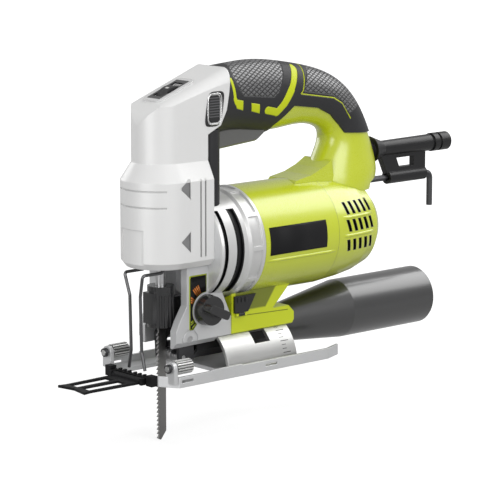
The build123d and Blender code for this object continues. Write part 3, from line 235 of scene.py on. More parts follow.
def cover_painted_shade(build, place, body):
    """Painted shade where the cover lies below its outer skin: grooves round the nose, notches and grooves
    in the flanks. The collar's two air slots get painted shade inside, and the rear one a wide painted dark
    lip round it that makes the slot look wider."""
    x, y, z = axes(build, place)
    side = build.maths("ABSOLUTE", y, 0)
    from_nose_axis = build.maths("POWER", x * x + y * y, 0.5)
    flank = between(side, *groove_side) * between(x, *groove_x) * between(z, *groove_z)
    rings = between(z, *nose_rings[0]) + between(z, *nose_rings[1])
    nose = between(from_nose_axis, *nose_skin) * (x > nose_back) * rings
    # Painted shade in the grooves and notches of the cover.
    body = mixed(build, flank * 0.8 + nose * 0.25, body, groove_shade)
    # Painted shade inside the collar's two air slots.
    slots = between(x, *front_slot) + between(x, *rear_slot)
    body = mixed(build, slots * (from_motor_axis(build, y, z) < slot_floor), body, slot_shade_black)
    # A painted dark lip round the rear slot, so that it looks wider.
    lip = between(x, *lip_x) * between(z, *lip_z) * (side > lip_side)
    return mixed(build, lip, body, slot_shade_black)


silver = (0.80, 0.80, 0.795)
# Both coats carry painted shade in their grooves, notches and slots.
silver_paint = satin(
    "silver_paint", silver, 0.36, 0.12, metallic=0.12, drift=0.03, coat=0.15, paint=cover_painted_shade
)
dress(silver_paint, "gear_head")
bare_silver = (0.72, 0.72, 0.715)
collar_silver = satin(
    "collar_silver", bare_silver, 0.34, 0.12, metallic=0.5, drift=0.04, paint=cover_painted_shade
)
dress(collar_silver, "motor_collar")


# Lock button: a black ribbed key in a window of the left flank. A black bezel leans round the window, with
# a bright bead along its inner edge. Both are pressed into the cover, so they ride on the housing.
nose_half_width, back_half_width, back_x = 0.0194, 0.0220, -0.046


def flank_y(x):
    """Half width of the head's flank: it widens in a straight line from the nose to the back."""
    return nose_half_width + (back_half_width - nose_half_width) * x / back_x


def grid_faces(rows, columns, wrap_rows=False, wrap_columns=False):
    """Quads between neighbours of a rows by columns grid, closed round where asked."""
    row = np.arange(rows if wrap_rows else rows - 1)
    column = np.arange(columns if wrap_columns else columns - 1)
    r, c = np.meshgrid(row, column, indexing="ij")
    r_next, c_next = (r + 1) % rows, (c + 1) % columns
    corners = [r * columns + c, r_next * columns + c, r_next * columns + c_next, r * columns + c_next]
    return np.stack(corners, axis=-1).reshape(-1, 4)


def add_piece(name, points, faces, material, body, slot_name, thickness=0.0):
    """A mesh from points and faces, riding on a body. A thickness makes a sheet solid, outwards."""
    mesh = bpy.data.meshes.new(name)
    mesh.from_pydata(np.asarray(points).reshape(-1, 3).tolist(), [], [list(face) for face in faces])
    mesh.materials.append(material)
    mesh.polygons.foreach_set("use_smooth", [True] * len(mesh.polygons))
    piece = bpy.data.objects.new(name, mesh)
    scene.collection.objects.link(piece)
    if thickness:
        solid = piece.modifiers.new("thickness", "SOLIDIFY")
        solid.thickness = thickness
        solid.offset = 1.0
    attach(piece, body)
    return piece


def bead(path, radius, sides=10, closed=True):
    """A round wire along a path: each point plus radius times a circle square to the path there."""
    ahead = np.roll(path, -1, axis=0) - np.roll(path, 1, axis=0)
    if not closed:
        ahead = np.gradient(path, axis=0)
    ahead /= np.linalg.norm(ahead, axis=1, keepdims=True)
    helper = np.where(np.abs(ahead[:, 1:2]) < 0.8, (0.0, 1.0, 0.0), (0.0, 0.0, 1.0))
    first = np.cross(ahead, helper)
    first /= np.linalg.norm(first, axis=1, keepdims=True)
    second = np.cross(ahead, first)
    turn = np.linspace(0, 2 * pi, sides, endpoint=False)[None, :, None]
    points = path[:, None] + radius * (np.cos(turn) * first[:, None] + np.sin(turn) * second[:, None])
    faces = grid_faces(len(path), sides, wrap_rows=closed, wrap_columns=True)
    if not closed:
        caps = [np.arange(sides)[::-1], (len(path) - 1) * sides + np.arange(sides)]
        faces = [*faces.tolist(), *[cap.tolist() for cap in caps]]
    return points, faces


lock_middle = (-0.0305, 0.1825)
around = np.linspace(0, 2 * pi, 72, endpoint=False)
squarish = 0.45  # cosine and sine raised to this power keep the corners full


def lock_outline(half_length, half_height, lean):
    """A superellipse on the head's flank about the lock button, leaning back as it rises."""
    z = half_height * np.sign(np.sin(around)) * np.abs(np.sin(around)) ** squarish
    x = half_length * np.sign(np.cos(around)) * np.abs(np.cos(around)) ** squarish - lean * z
    x = x + lock_middle[0]
    return np.stack([x, flank_y(x), z + lock_middle[1]], axis=1)


soft_black = (0.018, 0.018, 0.019)
black_plastic = satin("black_plastic", soft_black, 0.36, 0.15, wear=0.05, drift=0.15)
bezel_lines = [lock_outline(0.0053, 0.0100, 0.0), lock_outline(0.0070, 0.0118, 0.16)]
bezel_share = np.linspace(0, 1, 4)[:, None, None]
bezel = bezel_lines[0] + bezel_share * (bezel_lines[1] - bezel_lines[0]) - (0, 0.0002, 0)
bezel_faces = grid_faces(4, len(around), wrap_columns=True)
add_piece("lock_bezel", bezel, bezel_faces[:, ::-1], black_plastic, "housing", "black_plastic", 0.0005)
chrome = satin("bead_chrome", (0.80, 0.80, 0.80), 0.20, 0.03, metallic=0.9, wear=0.1, drift=0.03)
bead_path = lock_outline(0.0057, 0.0104, 0.03) + (0, 0.0003, 0)
add_piece("lock_bead", *bead(bead_path, 0.00050), chrome, "housing", "silver_cover")
rib_pitch, rib_crest, rib_foot = 0.0009, 0.00055, 0.1765


def key_rib_highlight(build, place, body):
    """A painted highlight on the crests of the ribs across the key: the height folded into steps."""
    z = axes(build, place)[2]
    crest = build.maths("PINGPONG", z, rib_pitch) > rib_crest
    # Painted highlight: the crests paler than the black key.
    return mixed(build, crest * (z > rib_foot), body, (0.11, 0.11, 0.115, 1))


lock_black = satin("lock_black", soft_black, 0.32, 0.15, wear=0.05, drift=0.15, paint=key_rib_highlight)
dress(lock_black, "lock_button")


# Speed dial: a black thumbwheel behind a frame on the sloped roof, with a pale mark for each step. The
# frame is plated along its rim and black round the opening.
dial_middle = (-0.01169, 0.18487)
dot_half_turn, dot_half_width = 0.07, 0.0016


def dial_paint(build, place, body):
    """Pale dots every 45 degrees round the wheel: the angle about its axle, folded into one step."""
    x, y, z = axes(build, place)
    angle = build.maths("ARCTAN2", x - dial_middle[0], z - dial_middle[1])
    step = build.maths("PINGPONG", angle, pi / 8)
    far = build.maths("ABSOLUTE", y, 0)
    dot = (step > pi / 8 - dot_half_turn) * (far < dot_half_width)
    return mixed(build, dot, body, (0.62, 0.62, 0.6, 1))


dial_black = (0.02, 0.02, 0.021)
dial_plastic = satin("dial_plastic", dial_black, 0.42, 0.4, wear=0.05, drift=0.15, paint=dial_paint)
dress(dial_plastic, "speed_dial")
roof_run = Vector((-0.0559, 0.0, 0.0212)).normalized()
dial_top = Vector((-0.008, 0.0, 0.1946))
field_half_width, field_half_length = 0.0068, 0.0142


def frame_paint(build, place, body):
    """Plated outside a black field: the field is a rectangle across the tool and along the roof."""
    y = axes(build, place)[1]
    dot = {"operation": "DOT_PRODUCT"}
    along = build.node("ShaderNodeVectorMath", dot, {0: place, 1: roof_run}, output="Value")
    along = build.maths("ABSOLUTE", along - roof_run.dot(dial_top), 0)
    field = (build.maths("ABSOLUTE", y, 0) < field_half_width) * (along < field_half_length)
    return mixed(build, field, body, (0.012, 0.012, 0.013, 1))


plating = (0.66, 0.66, 0.66)
plated = satin(
    "plated_frame", plating, 0.20, 0.05, wear=0.2, drift=0.04, coat=0.6, paint=frame_paint
)
dress(plated, "dial_window")


# Motor housing: a green moulded tube round the field. A bare black plate is bonded to its left side, and a
# long moulded ridge runs under the plate on both sides.
lime = (0.58, 0.66, 0.012)
moulded = {"roughness": 0.28, "grain": 0.10, "wear": 0.2, "drift": 0.04, "coat": 0.9, "specular": 0.8}
lime_plastic = satin("lime_plastic", lime, **moulded)
dress(lime_plastic, "handle_left", "handle_right")
collar_seam, cap_seam = -0.0620, -0.1307


def tube_paint(build, place, body):
    """A line of shade where the tube meets the collar, and a finer one where it meets the rear cap."""
    x = axes(build, place)[0]
    seam = (x > collar_seam) + (x < cap_seam) * 0.6
    return mixed(build, seam * 0.9, body, (0.05, 0.06, 0.005, 1))


dress(satin("tube_lime", lime, paint=tube_paint, **moulded), "motor_housing")


def on_barrel(x, angle, rise):
    """A point on the motor tube: angle is measured up from the horizontal on the left side."""
    radius = motor_radius + rise
    return np.stack([x, radius * np.cos(angle), motor_z + radius * np.sin(angle)], axis=-1)


plate_x = np.linspace(-0.1190, -0.0662, 3)
plate_angle = np.linspace(radians(-9.6), radians(19.2), 15)
angle_grid, x_grid = np.meshgrid(plate_angle, plate_x, indexing="ij")
plate_lift, plate_thickness = 0.00003, 0.0004
plate = on_barrel(x_grid, angle_grid, plate_lift)
plate_faces = grid_faces(*x_grid.shape)
deep_black = (0.008, 0.008, 0.009)
plate_black = satin("plate_black", deep_black, 0.50, 0.10, wear=0.05, drift=0.1, specular=0.2)
add_piece("name_plate", plate, plate_faces, plate_black, "housing", "black_plastic", plate_thickness)
ridge_rear, ridge_front, ridge_taper = -0.1290, -0.0640, 0.006
ridge_angle, ridge_half_angle = radians(-15.8), radians(1.6)
ridge_height, ridge_sink = 0.0009, 0.00005


def ridge_points():
    """A ridge along the tube: its rise is the height times (1 - across^2), less towards both ends."""
    x = np.linspace(ridge_rear, ridge_front, 40)
    ends = np.clip(np.minimum(x - ridge_rear, ridge_front - x) / ridge_taper, 0.02, 1)
    across, along = np.meshgrid(np.linspace(-1, 1, 9), np.arange(len(x)), indexing="ij")
    rise = ridge_height * ends[along] * (1 - across**2) - ridge_sink
    return on_barrel(x[along], ridge_angle + ridge_half_angle * across, rise)


ridge = ridge_points()
for side_name, side in (("left", 1), ("right", -1)):
    ridge_name = f"barrel_ridge_{side_name}"
    faces = grid_faces(*ridge.shape[:2])[:, ::-side]
    add_piece(ridge_name, ridge * (1, side, 1), faces, lime_plastic, "housing", "green_plastic")


# Rear cap: green, with slanted air slots in rows. Short ledges stand out between the rows, moulded with
# the cap.
cap_x = np.array([-0.131, -0.150, -0.163, -0.175, -0.182])
cap_radius = np.array([0.0384, 0.0366, 0.0346, 0.0310, 0.0250])
vent_rows = (0.104, 0.092, 0.078)
vent_front, vent_pitch, vent_lean = -0.1420, 0.0062, 0.25
vent_half_width, vent_half_height, vent_run = 0.0017, 0.0043, -0.0265
vent_x, vent_side = (-0.172, -0.1315), 0.025
skin_fall, skin_depth = 0.0074 / 0.044, 0.0002


def cap_slot_shade(build, place, body):
    """Painted shade inside the slots, below a cone that lies just under the cap's outer skin, and a painted
    dark lip round each slot that makes it look wider. The slots lean, so X is taken square to their lean
    and folded into one pitch."""
    x, y, z = axes(build, place)
    skin = motor_radius + (x - cap_x[0]) * skin_fall
    inside = (from_motor_axis(build, y, z) < skin - skin_depth) * between(x, *vent_x)
    lip = None
    for row_z in vent_rows:
        leaned = x - (z - row_z) * vent_lean - vent_front
        folded = build.maths("PINGPONG", leaned - vent_pitch / 2, vent_pitch / 2)
        slot = (folded > vent_pitch / 2 - vent_half_width) * between(leaned, vent_run, vent_half_width)
        slot = slot * between(z, row_z - vent_half_height, row_z + vent_half_height)
        lip = slot if lip is None else lip + slot
    # Painted shade inside the slots and on a dark lip round each, which makes the slots look wider.
    shade = build.maths("MAXIMUM", inside, lip * (build.maths("ABSOLUTE", y, 0) > vent_side))
    return mixed(build, shade, body, (0.008, 0.009, 0.004, 1))


dress(satin("cap_lime", lime, paint=cap_slot_shade, **moulded), "rear_cap")
ledge_rear, ledge_front, ledge_taper = -0.1700, -0.1360, 0.004
ledge_half_height, ledge_height, ledge_sink = 0.0011, 0.0010, 0.0001


def ledge_points(middle_z):
    """A ledge on the left: the cap's half width at each height, plus a bulge of the ledge's height times
    (1 - across^4), less towards both ends."""
    x = np.linspace(ledge_rear, ledge_front, 24)
    ends = np.clip(np.minimum(x - ledge_rear, ledge_front - x) / ledge_taper, 0.02, 1)
    across, along = np.meshgrid(np.linspace(-1, 1, 9), np.arange(len(x)), indexing="ij")
    radius = np.interp(-x, -cap_x, cap_radius)[along]
    height = middle_z - motor_z + ledge_half_height * across
    bulge = ledge_height * ends[along] * (1 - across**4) - ledge_sink
    return np.stack([x[along], np.sqrt(radius**2 - height**2) + bulge, motor_z + height], axis=-1)


for row, ledge_z in (("upper", 0.0980), ("lower", 0.0852)):
    ledge = ledge_points(ledge_z)
    for side_name, side in (("left", 1), ("right", -1)):
        ledge_name = f"vent_ledge_{row}_{side_name}"
        faces = grid_faces(*ledge.shape[:2])[:, ::-side]
        add_piece(ledge_name, ledge * (1, side, 1), faces, lime_plastic, "housing", "green_plastic")


# Grip cover: soft dark rubber moulded over the handle, with knurled panels for the palm. Green stripes
# of the handle show through it, level with its surface.
def edge_distance(build, place, outline):
    """Signed distance inside a convex side-view outline in millimetres: the least over its edges."""
    corners = np.array(outline, dtype=float) * 0.001
    after = np.roll(corners, -1, axis=0)
    area = np.sum(corners[:, 0] * after[:, 1] - after[:, 0] * corners[:, 1])
    least = None
    for (x0, z0), (x1, z1) in zip(corners, after):
        length = hypot(x1 - x0, z1 - z0) * np.sign(area)
        inward = ((z0 - z1) / length, 0.0, (x1 - x0) / length)
        dot = {"operation": "DOT_PRODUCT"}
        reach = build.node("ShaderNodeVectorMath", dot, {0: place, 1: inward}, output="Value")
        reach = reach - (inward[0] * x0 + inward[2] * z0)
        least = reach if least is None else build.maths("MINIMUM", least, reach)
    return least


def stripe_distance(build, place, route):
    """How far inside a painted line: for each run of the route in millimetres, its half width less the
    distance to the run, and the most of these."""
    flat = build.node("ShaderNodeVectorMath", {"operation": "MULTIPLY"}, {0: place, 1: (1, 0, 1)})
    most = None
    for (x0, z0, wide), (x1, z1, _) in zip(route, route[1:]):
        run = ((x1 - x0) * 0.001, 0.0, (z1 - z0) * 0.001)
        square = run[0] ** 2 + run[2] ** 2
        start = (x0 * 0.001, 0.0, z0 * 0.001)
        away = build.node("ShaderNodeVectorMath", {"operation": "SUBTRACT"}, {0: flat, 1: start})
        scaled = {0: away, 1: (run[0] / square, 0.0, run[2] / square)}
        share = build.node("ShaderNodeVectorMath", {"operation": "DOT_PRODUCT"}, scaled, output="Value")
        share = build.node("ShaderNodeClamp", None, {"Value": share})
        near = build.node("ShaderNodeVectorMath", {"operation": "SCALE"}, {0: run, "Scale": share})
        apart = {"operation": "DISTANCE"}
        gap = build.node("ShaderNodeVectorMath", apart, {0: away, 1: near}, output="Value")
        inside = wide * 0.001 - gap
        most = inside if most is None else build.maths("MAXIMUM", most, inside)
    return most


green_routes = [
    [(-49.6, 200.5, 1.2), (-50.0, 187.5, 1.6), (-51.0, 185.0, 0)],
    [
        (-81.5, 177.0, 2.7),
        (-91.0, 174.8, 2.9),
        (-97.0, 180.3, 3.0),
        (-104.0, 189.5, 2.6),
        (-112.6, 203.2, 0),
    ],
    [
        (-122.5, 206.0, 0.4),
        (-115.2, 188.0, 0.4),
        (-113.0, 185.9, 0.4),
        (-144.9, 180.6, 0.4),
        (-153.3, 176.0, 0.4),
        (-161.2, 164.8, 0),
    ],
]
green_blocks = [
    [(-51.3, 187.0), (-57.5, 185.8), (-58.1, 178.9), (-52.0, 180.7), (-48.9, 186.3)],
    [(-65.2, 183.6), (-73.3, 182.0), (-74.4, 175.3), (-66.3, 177.6)],
]
knurl_panels = [
    [
        (-58, 214),
        (-52.4, 203),
        (-55.6, 193),
        (-58.6, 189.2),
        (-87, 186),
        (-93, 189.5),
        (-98.4, 200),
        (-107, 214),
    ],
    [(-125, 214), (-117.4, 190.5), (-115.4, 187.8), (-144, 183), (-165, 214)],
    [(-130, 214), (-144, 183), (-151, 179.4), (-180, 214)],
    [(-145, 214), (-151, 179.4), (-159, 168), (-195, 185), (-170, 214)],
]


knurl_pitch, knurl_slope, knurl_flat, knurl_depth = 0.0026, 1.35, 0.55, 0.0013
green_side, green_top = 0.0095, 0.195  # the stripes show on the flanks and on the top, not underneath


def largest(build, values):
    """The most of several values."""
    most = values[0]
    for value in values[1:]:
        most = build.maths("MAXIMUM", most, value)
    return most


def grip_rubber_finish():
    """Dark rubber with green stripes and blocks, and panels of diamonds: the lesser of two sets of slanting
    furrows, on X plus or minus the height less a share of the distance from the middle."""
    material, build, place = new_finish("grip_rubber")
    rounded, edge = edge_mask(build, edge_radius)
    cloud = noise(build, place, cloud_scale)
    speck = noise(build, place, grain_scale, grain_detail)
    body = mixed(build, cloud, (0.022, 0.022, 0.024, 1), (0.034, 0.034, 0.036, 1))
    x, y, z = axes(build, place)
    side = build.maths("ABSOLUTE", y, 0)
    stripes = [stripe_distance(build, place, route) for route in green_routes]
    blocks = [edge_distance(build, place, outline) for outline in green_blocks]
    inside = largest(build, stripes + blocks)
    green = (inside > 0) * build.maths("MAXIMUM", side > green_side, z > green_top)
    body = mixed(build, green, body, rgba(lime))
    panel = largest(build, [edge_distance(build, place, outline) for outline in knurl_panels])
    on_panel = panel > 0
    down = (z - side * 0.8) * knurl_slope
    furrow = build.maths("PINGPONG", x + down, knurl_pitch)
    other = build.maths("PINGPONG", x - down, knurl_pitch)
    diamond = build.maths("MINIMUM", furrow, other) * (1 / knurl_pitch)
    knurl = build.maths("MINIMUM", diamond, knurl_flat) * on_panel
    crest = build.maths("MINIMUM", diamond * 1.8, 1.0)
    # Painted shade darkens the valleys between the diamonds, and a painted highlight lightens their crests.
    body = mixed(build, (1 - crest) * on_panel * 0.7, body, (0.006, 0.006, 0.007, 1))
    body = mixed(build, crest * on_panel * 0.8, body, (0.12, 0.12, 0.125, 1))
    body = mixed(build, edge * 0.08, body, (0.2, 0.2, 0.2, 1))
    rough = 0.40 + cloud * 0.06 + speck * 0.05 - green * 0.08 - on_panel * 0.06
    seam = build.maths("MINIMUM", build.maths("ABSOLUTE", inside, 0) * 2500.0, 1.0)
    lip = build.maths("MINIMUM", build.maths("ABSOLUTE", panel, 0) * 1400.0, 1.0)
    normal = bumped(build, 0.25, grain_depth, speck, rounded)
    normal = bumped(build, 1.0, knurl_depth, knurl + seam * 0.25 + lip * 0.3, normal)
    varying = {"Base Color": body, "Roughness": rough, "Coat Weight": crest * on_panel, "Normal": normal}
    close_finish(build, {"Specular IOR Level": 0.3, "Coat Roughness": 0.3, "Coat IOR": 1.9}, varying)
    return material


dress(grip_rubber_finish(), "grip_cover")


# Cord guard, trigger and switch: a ribbed rubber sleeve that also holds the hex key, and a grey trigger on
# the switch inside the grip.
rubber_black, mid_grey = (0.014, 0.014, 0.015), (0.16, 0.16, 0.155)
soft_rubber = satin("soft_rubber", rubber_black, 0.32, 0.15, wear=0.05, drift=0.15, specular=0.4)
dress(soft_rubber, "cord_guard")
trigger_grey = satin("trigger_grey", mid_grey, 0.26, 0.06, metallic=0.3, wear=0.05, coat=0.4)
dress(trigger_grey, "trigger")
dress(black_plastic, "switch_module")


# Screws of the handle and hex key: two pan heads with a cross recess, driven in from the right side of the
# rear post, and the dark key that hangs under the cord guard.
screw_radius, screw_rise, recess_depth, recess_reach, skirt = 0.0034, 0.0010, 0.0009, 0.55, 0.0008
screw_spots = {"low": (-0.1690, -0.0183, 0.1310), "high": (-0.1686, -0.0166, 0.1452)}


def screw_head(x, y, z):
    """A pan head that faces -Y: its height is the rise times sqrt(1 - 0.85 ring^2), less the cross recess,
    and its rim drops as a skirt."""
    turns = np.linspace(0, 2 * pi, 48, endpoint=False)
    turn, ring = np.meshgrid(turns, np.linspace(0, 1, 14), indexing="ij")
    cross = np.abs(np.sin(2 * turn)) < 0.30 + 0.25 * (1 - ring)
    height = screw_rise * np.sqrt(np.clip(1.0 - 0.85 * ring**2, 0, 1))
    height = height - recess_depth * (cross & (ring < recess_reach)) - skirt * (ring > 0.99)
    across = screw_radius * ring * np.cos(turn)
    up = screw_radius * ring * np.sin(turn)
    return np.stack([x + across, y - height, z + up], axis=-1)


line_scale, line_detail, patch_scale, metal_edge = 900.0, 4.0, 25.0, 0.0004


def worked_metal(name, colour, roughness, stretch, grain, paint=None):
    """Metal brushed along one axis, or cast with a blasted grain where the stretch is even."""
    material, build, place = new_finish(name)
    rounded, edge = edge_mask(build, metal_edge)
    lines = noise(build, place, line_scale, line_detail, stretch)
    cloud = noise(build, place, patch_scale)
    dark = rgba([c * 0.86 for c in colour])
    light = rgba([min(1.0, c * 1.08) for c in colour])
    body = mixed(build, lines * 0.6 + cloud * 0.4, dark, light)
    body = mixed(build, edge * 0.5, body, rgba([min(1.0, c * 1.3 + 0.08) for c in colour]))
    if paint:
        body = paint(build, place, body)
    rough = roughness - 0.08 + lines * 0.12 + cloud * 0.06
    normal = bumped(build, grain, grain_depth, lines, rounded)
    close_finish(build, {"Metallic": 1.0}, {"Base Color": body, "Roughness": rough, "Normal": normal})
    return material


dark_steel = worked_metal("dark_steel", (0.10, 0.10, 0.105), 0.42, (0.1, 1.0, 1.0), 0.15)
for spot_name, spot in screw_spots.items():
    head = screw_head(*spot)
    faces = grid_faces(*head.shape[:2], wrap_rows=True)
    add_piece(f"handle_screw_{spot_name}", head, faces, dark_steel, "housing", "dark_steel")
dress(dark_steel, "hex_key")


# Gear case: an aluminium casting with two cheeks. A black printed label with a green edge curves round the
# knob on the left cheek, with plain bars for the steps of the pendulum action.
def cast_paint(build, place, body):
    """Darker in patches, as tumbled castings are."""
    patch = noise(build, place, 60.0, 4.0)
    return mixed(build, patch * 0.25, body, (0.42, 0.42, 0.43, 1))


bare_cast = (0.72, 0.725, 0.73)
cast_silver = satin("cast_silver", bare_cast, 0.45, 0.35, metallic=0.6, wear=0.4, paint=cast_paint)
dress(cast_silver, "gear_case", "shoe_plate")
knob_x, knob_z = -0.0235, 0.0456
cheek_y = 0.0200


def label_sheet(first, last, inner, front, top, bottom, rise):
    """A sheet on the cheek in polar form about the knob: from the inner radius out to the nearest of a
    front edge, a top edge and a bottom edge."""
    angle = np.linspace(radians(first), radians(last), 48)
    sine = np.where(np.abs(np.sin(angle)) < 1e-3, 1e-3, np.sin(angle))
    level = np.where(sine > 0, top / sine, -bottom / sine)
    outer = np.minimum(front / np.clip(np.cos(angle), 1e-3, 1), level)
    outer = np.maximum(outer, inner + 0.0004)
    share = np.linspace(0, 1, 4)[None, :]
    radius = inner + share * (outer[:, None] - inner)
    x = knob_x + radius * np.cos(angle)[:, None]
    z = knob_z + radius * np.sin(angle)[:, None]
    return np.stack([x, np.full_like(x, cheek_y + rise), z], axis=-1)


field_front, field_top, field_bottom = 0.0143, 0.0240, 0.0118
edge_sheet = label_sheet(-48, 91, 0.0122, 0.0151, 0.0249, 0.0127, 0.00002)
field_sheet = label_sheet(-45, 89, 0.0127, field_front, field_top, field_bottom, 0.00016)
label_green = satin("label_green", (0.50, 0.60, 0.03), 0.35, 0.05, wear=0.05, coat=0.2)
for label_name, sheet, ink, label_slot in (
    ("label_edge", edge_sheet, label_green, "green_plastic"),
    ("label_field", field_sheet, plate_black, "black_plastic"),
):
    faces = grid_faces(*sheet.shape[:2])
    add_piece(label_name, sheet, faces, ink, "housing", label_slot, 0.0001)
bar_groups = ((1, -42), (2, -33), (3, 26), (4, 52))  # bars in a group, and the angle of its first
bar_step, bar_inner, bar_most, bar_half, bar_margin, bar_rise = 5.0, 0.0131, 0.0062, 0.0005, 0.0006, 0.0003


def label_bars():
    """Four corners for each bar: its angle about the knob, from the inner radius out to the field's edge
    less a margin, and half its width to each side."""
    groups = [np.arange(count) * bar_step + start for count, start in bar_groups]
    angle = np.radians(np.concatenate(groups))
    level = np.where(angle > 0, field_top, field_bottom) / np.abs(np.sin(angle))
    reach = np.minimum(field_front / np.cos(angle), level) - bar_margin
    length = np.minimum(reach - bar_inner, bar_most)[:, None]
    cosine, sine = np.cos(angle)[:, None], np.sin(angle)[:, None]
    radius = bar_inner + np.array([0.0, 0.0, 1.0, 1.0]) * length
    aside = bar_half * np.array([-1.0, 1.0, 1.0, -1.0])
    x = knob_x + radius * cosine - aside * sine
    z = knob_z + radius * sine + aside * cosine
    return np.stack([x, np.full_like(x, cheek_y + bar_rise), z], axis=-1)


bars = label_bars()
label_amber = satin("label_amber", (0.80, 0.22, 0.01), 0.35, 0.05, wear=0.05, coat=0.2)
for bar_name, chosen, ink in (("green", bars[:3], label_green), ("amber", bars[3:], label_amber)):
    faces = np.arange(len(chosen) * 4).reshape(-1, 4)
    add_piece(f"label_bars_{bar_name}", chosen, faces, ink, "housing", "green_plastic", 0.00008)


# Orbital knob: a black moulded knob with a bar grip on the left cheek, pressed on the steel cam that limits
# the roller fork's swing.
knob_black = (0.020, 0.020, 0.021)
glossy_black = satin("glossy_black", knob_black, 0.22, 0.06, wear=0.05, drift=0.15, coat=0.4)
dress(glossy_black, "orbital_knob", "clamp_sleeve")
ground_steel = worked_metal("ground_steel", (0.60, 0.60, 0.605), 0.30, (0.05, 1.0, 1.0), 0.10)
dress(ground_steel, "orbital_cam", "fork_pins", "roller_pin", "guide_roller")
dress(dark_steel, "roller_fork")


# Foot: the green leg and saddle that stand on the bevel bracket, with painted shade for a groove along
# the side of the saddle and on the web by the leg, and a black door over the spare blades. The dust nozzle
# lies under it.
saddle_shade_line = [(-55.0, 37.0, 0.35), (-98.0, 35.6, 0)]
shaded_web_outline = [(-49, 47), (-60, 40), (-77.5, 40), (-87.5, 54), (-87.5, 60), (-49, 60)]


def saddle_shade_paint(build, place, body):
    """A dark line of painted shade along the flank of the saddle where it shows a groove, and a field of
    painted shade on the web between the pocket and the leg."""
    # Painted shade: a dark line where the saddle shows a groove.
    line = stripe_distance(build, place, saddle_shade_line)
    body = mixed(build, (line > 0) * 0.75, body, (0.06, 0.08, 0.0, 1))
    # Painted shade on the web between the pocket and the leg, standing in for a hollow there.
    web = edge_distance(build, place, shaded_web_outline)
    web = build.node("ShaderNodeClamp", None, {"Value": web * 900.0})
    return mixed(build, web * 0.8, body, (0.075, 0.09, 0.01, 1))


saddle_lime = satin("saddle_lime", lime, 0.32, 0.10, wear=0.2, drift=0.04, coat=0.3, paint=saddle_shade_paint)
dress(saddle_lime, "foot")
dress(black_plastic, "dust_nozzle", "storage_door")


# Bevel bracket: an arch of bright steel sheet let into the shoe. A scale of the tilt is engraved across its
# rear end, long marks every fifteen degrees.
scale_front, short_rear, long_rear = -0.0850, -0.0890, -0.0920


def scale_paint(build, place, body):
    """Engraved marks: the angle about the X axis folded into steps, inside a band of X."""
    x, y, z = axes(build, place)
    angle = build.maths("ARCTAN2", y, z)
    fine = build.maths("PINGPONG", angle, radians(2.5)) < radians(0.35)
    long = build.maths("PINGPONG", angle, radians(7.5)) < radians(0.45)
    short_band = between(x, short_rear, scale_front)
    long_band = between(x, long_rear, scale_front)
    mark = build.maths("MAXIMUM", fine * short_band, long * long_band)
    return mixed(build, mark, body, (0.03, 0.03, 0.03, 1))


sheet_grey = (0.66, 0.66, 0.65)
bracket_steel = worked_metal("bracket_steel", sheet_grey, 0.36, (0.04, 1, 1), 0.12, scale_paint)
dress(bracket_steel, "bevel_bracket")
dress(ground_steel, "clamp_pad")
dress(dark_steel, "bevel_screw")


# Thumb screws and cut guide: ribbed nickel-plated heads at the front corners of the shoe, each with a black
# coil spring on its shank in front of the lug. They clamp the black bar that carries the folding guide.
thumb_y, thumb_z = 0.0342, 0.0132
rib_valley = (0.0036, 0.00475)


def thumb_rib_shade(build, place, body):
    """Painted shade in the valleys between the ribs: all below the ribs' crests, round the screw's axis."""
    x, y, z = axes(build, place)
    across = build.maths("ABSOLUTE", y, 0) - thumb_y
    height = z - thumb_z
    reach = build.maths("POWER", across * across + height * height, 0.5)
    # Painted shade darkens the valleys.
    return mixed(build, between(reach, *rib_valley) * 0.85, body, (0.05, 0.05, 0.05, 1))


nickel = worked_metal("nickel", (0.72, 0.72, 0.71), 0.30, (0.05, 1.0, 1.0), 0.12, thumb_rib_shade)
dress(nickel, "thumb_screw_left", "thumb_screw_right")
spring_rear, spring_length, spring_radius, spring_turns, spring_wire = 0.0207, 0.0024, 0.0028, 3.5, 0.0003


def spring_path(side):
    """A helix along X about the thumb screw's axis."""
    coil = np.linspace(0, 2 * pi * spring_turns, 110)
    x = spring_rear + spring_length * coil / coil[-1]
    y = side * thumb_y + spring_radius * np.cos(coil)
    return np.stack([x, y, thumb_z + spring_radius * np.sin(coil)], axis=1)


for side_name, side in (("left", 1), ("right", -1)):
    points, faces = bead(spring_path(side), spring_wire, 8, closed=False)
    add_piece(f"thumb_spring_{side_name}", points, faces, dark_steel, "shoe", "dark_steel")
dress(plate_black, "guide_bar", "cut_guide")


# Blade, plunger, clamp core and wire guard: hardened and ground steel. The blade is darker, with a brushed
# face, and the wire in front of it is darker still.
blade_steel = worked_metal("blade_steel", (0.30, 0.295, 0.29), 0.36, (1.0, 1.0, 0.05), 0.12)
dress(blade_steel, "blade")
dress(ground_steel, "plunger", "yoke", "clamp_core")
wire_steel = worked_metal("wire_steel", (0.16, 0.16, 0.165), 0.30, (1.0, 1.0, 0.1), 0.1)
dress(wire_steel, "wire_guard")


# Dust tube: black moulded plastic with a soft gloss, pushed into the saddle from behind.
tube_colour = (0.012, 0.012, 0.013)
tube_black = satin(
    "tube_black", tube_colour, 0.34, 0.10, wear=0.05, drift=0.12, coat=1.0, specular=1.0
)
dress(tube_black, "dust_tube")


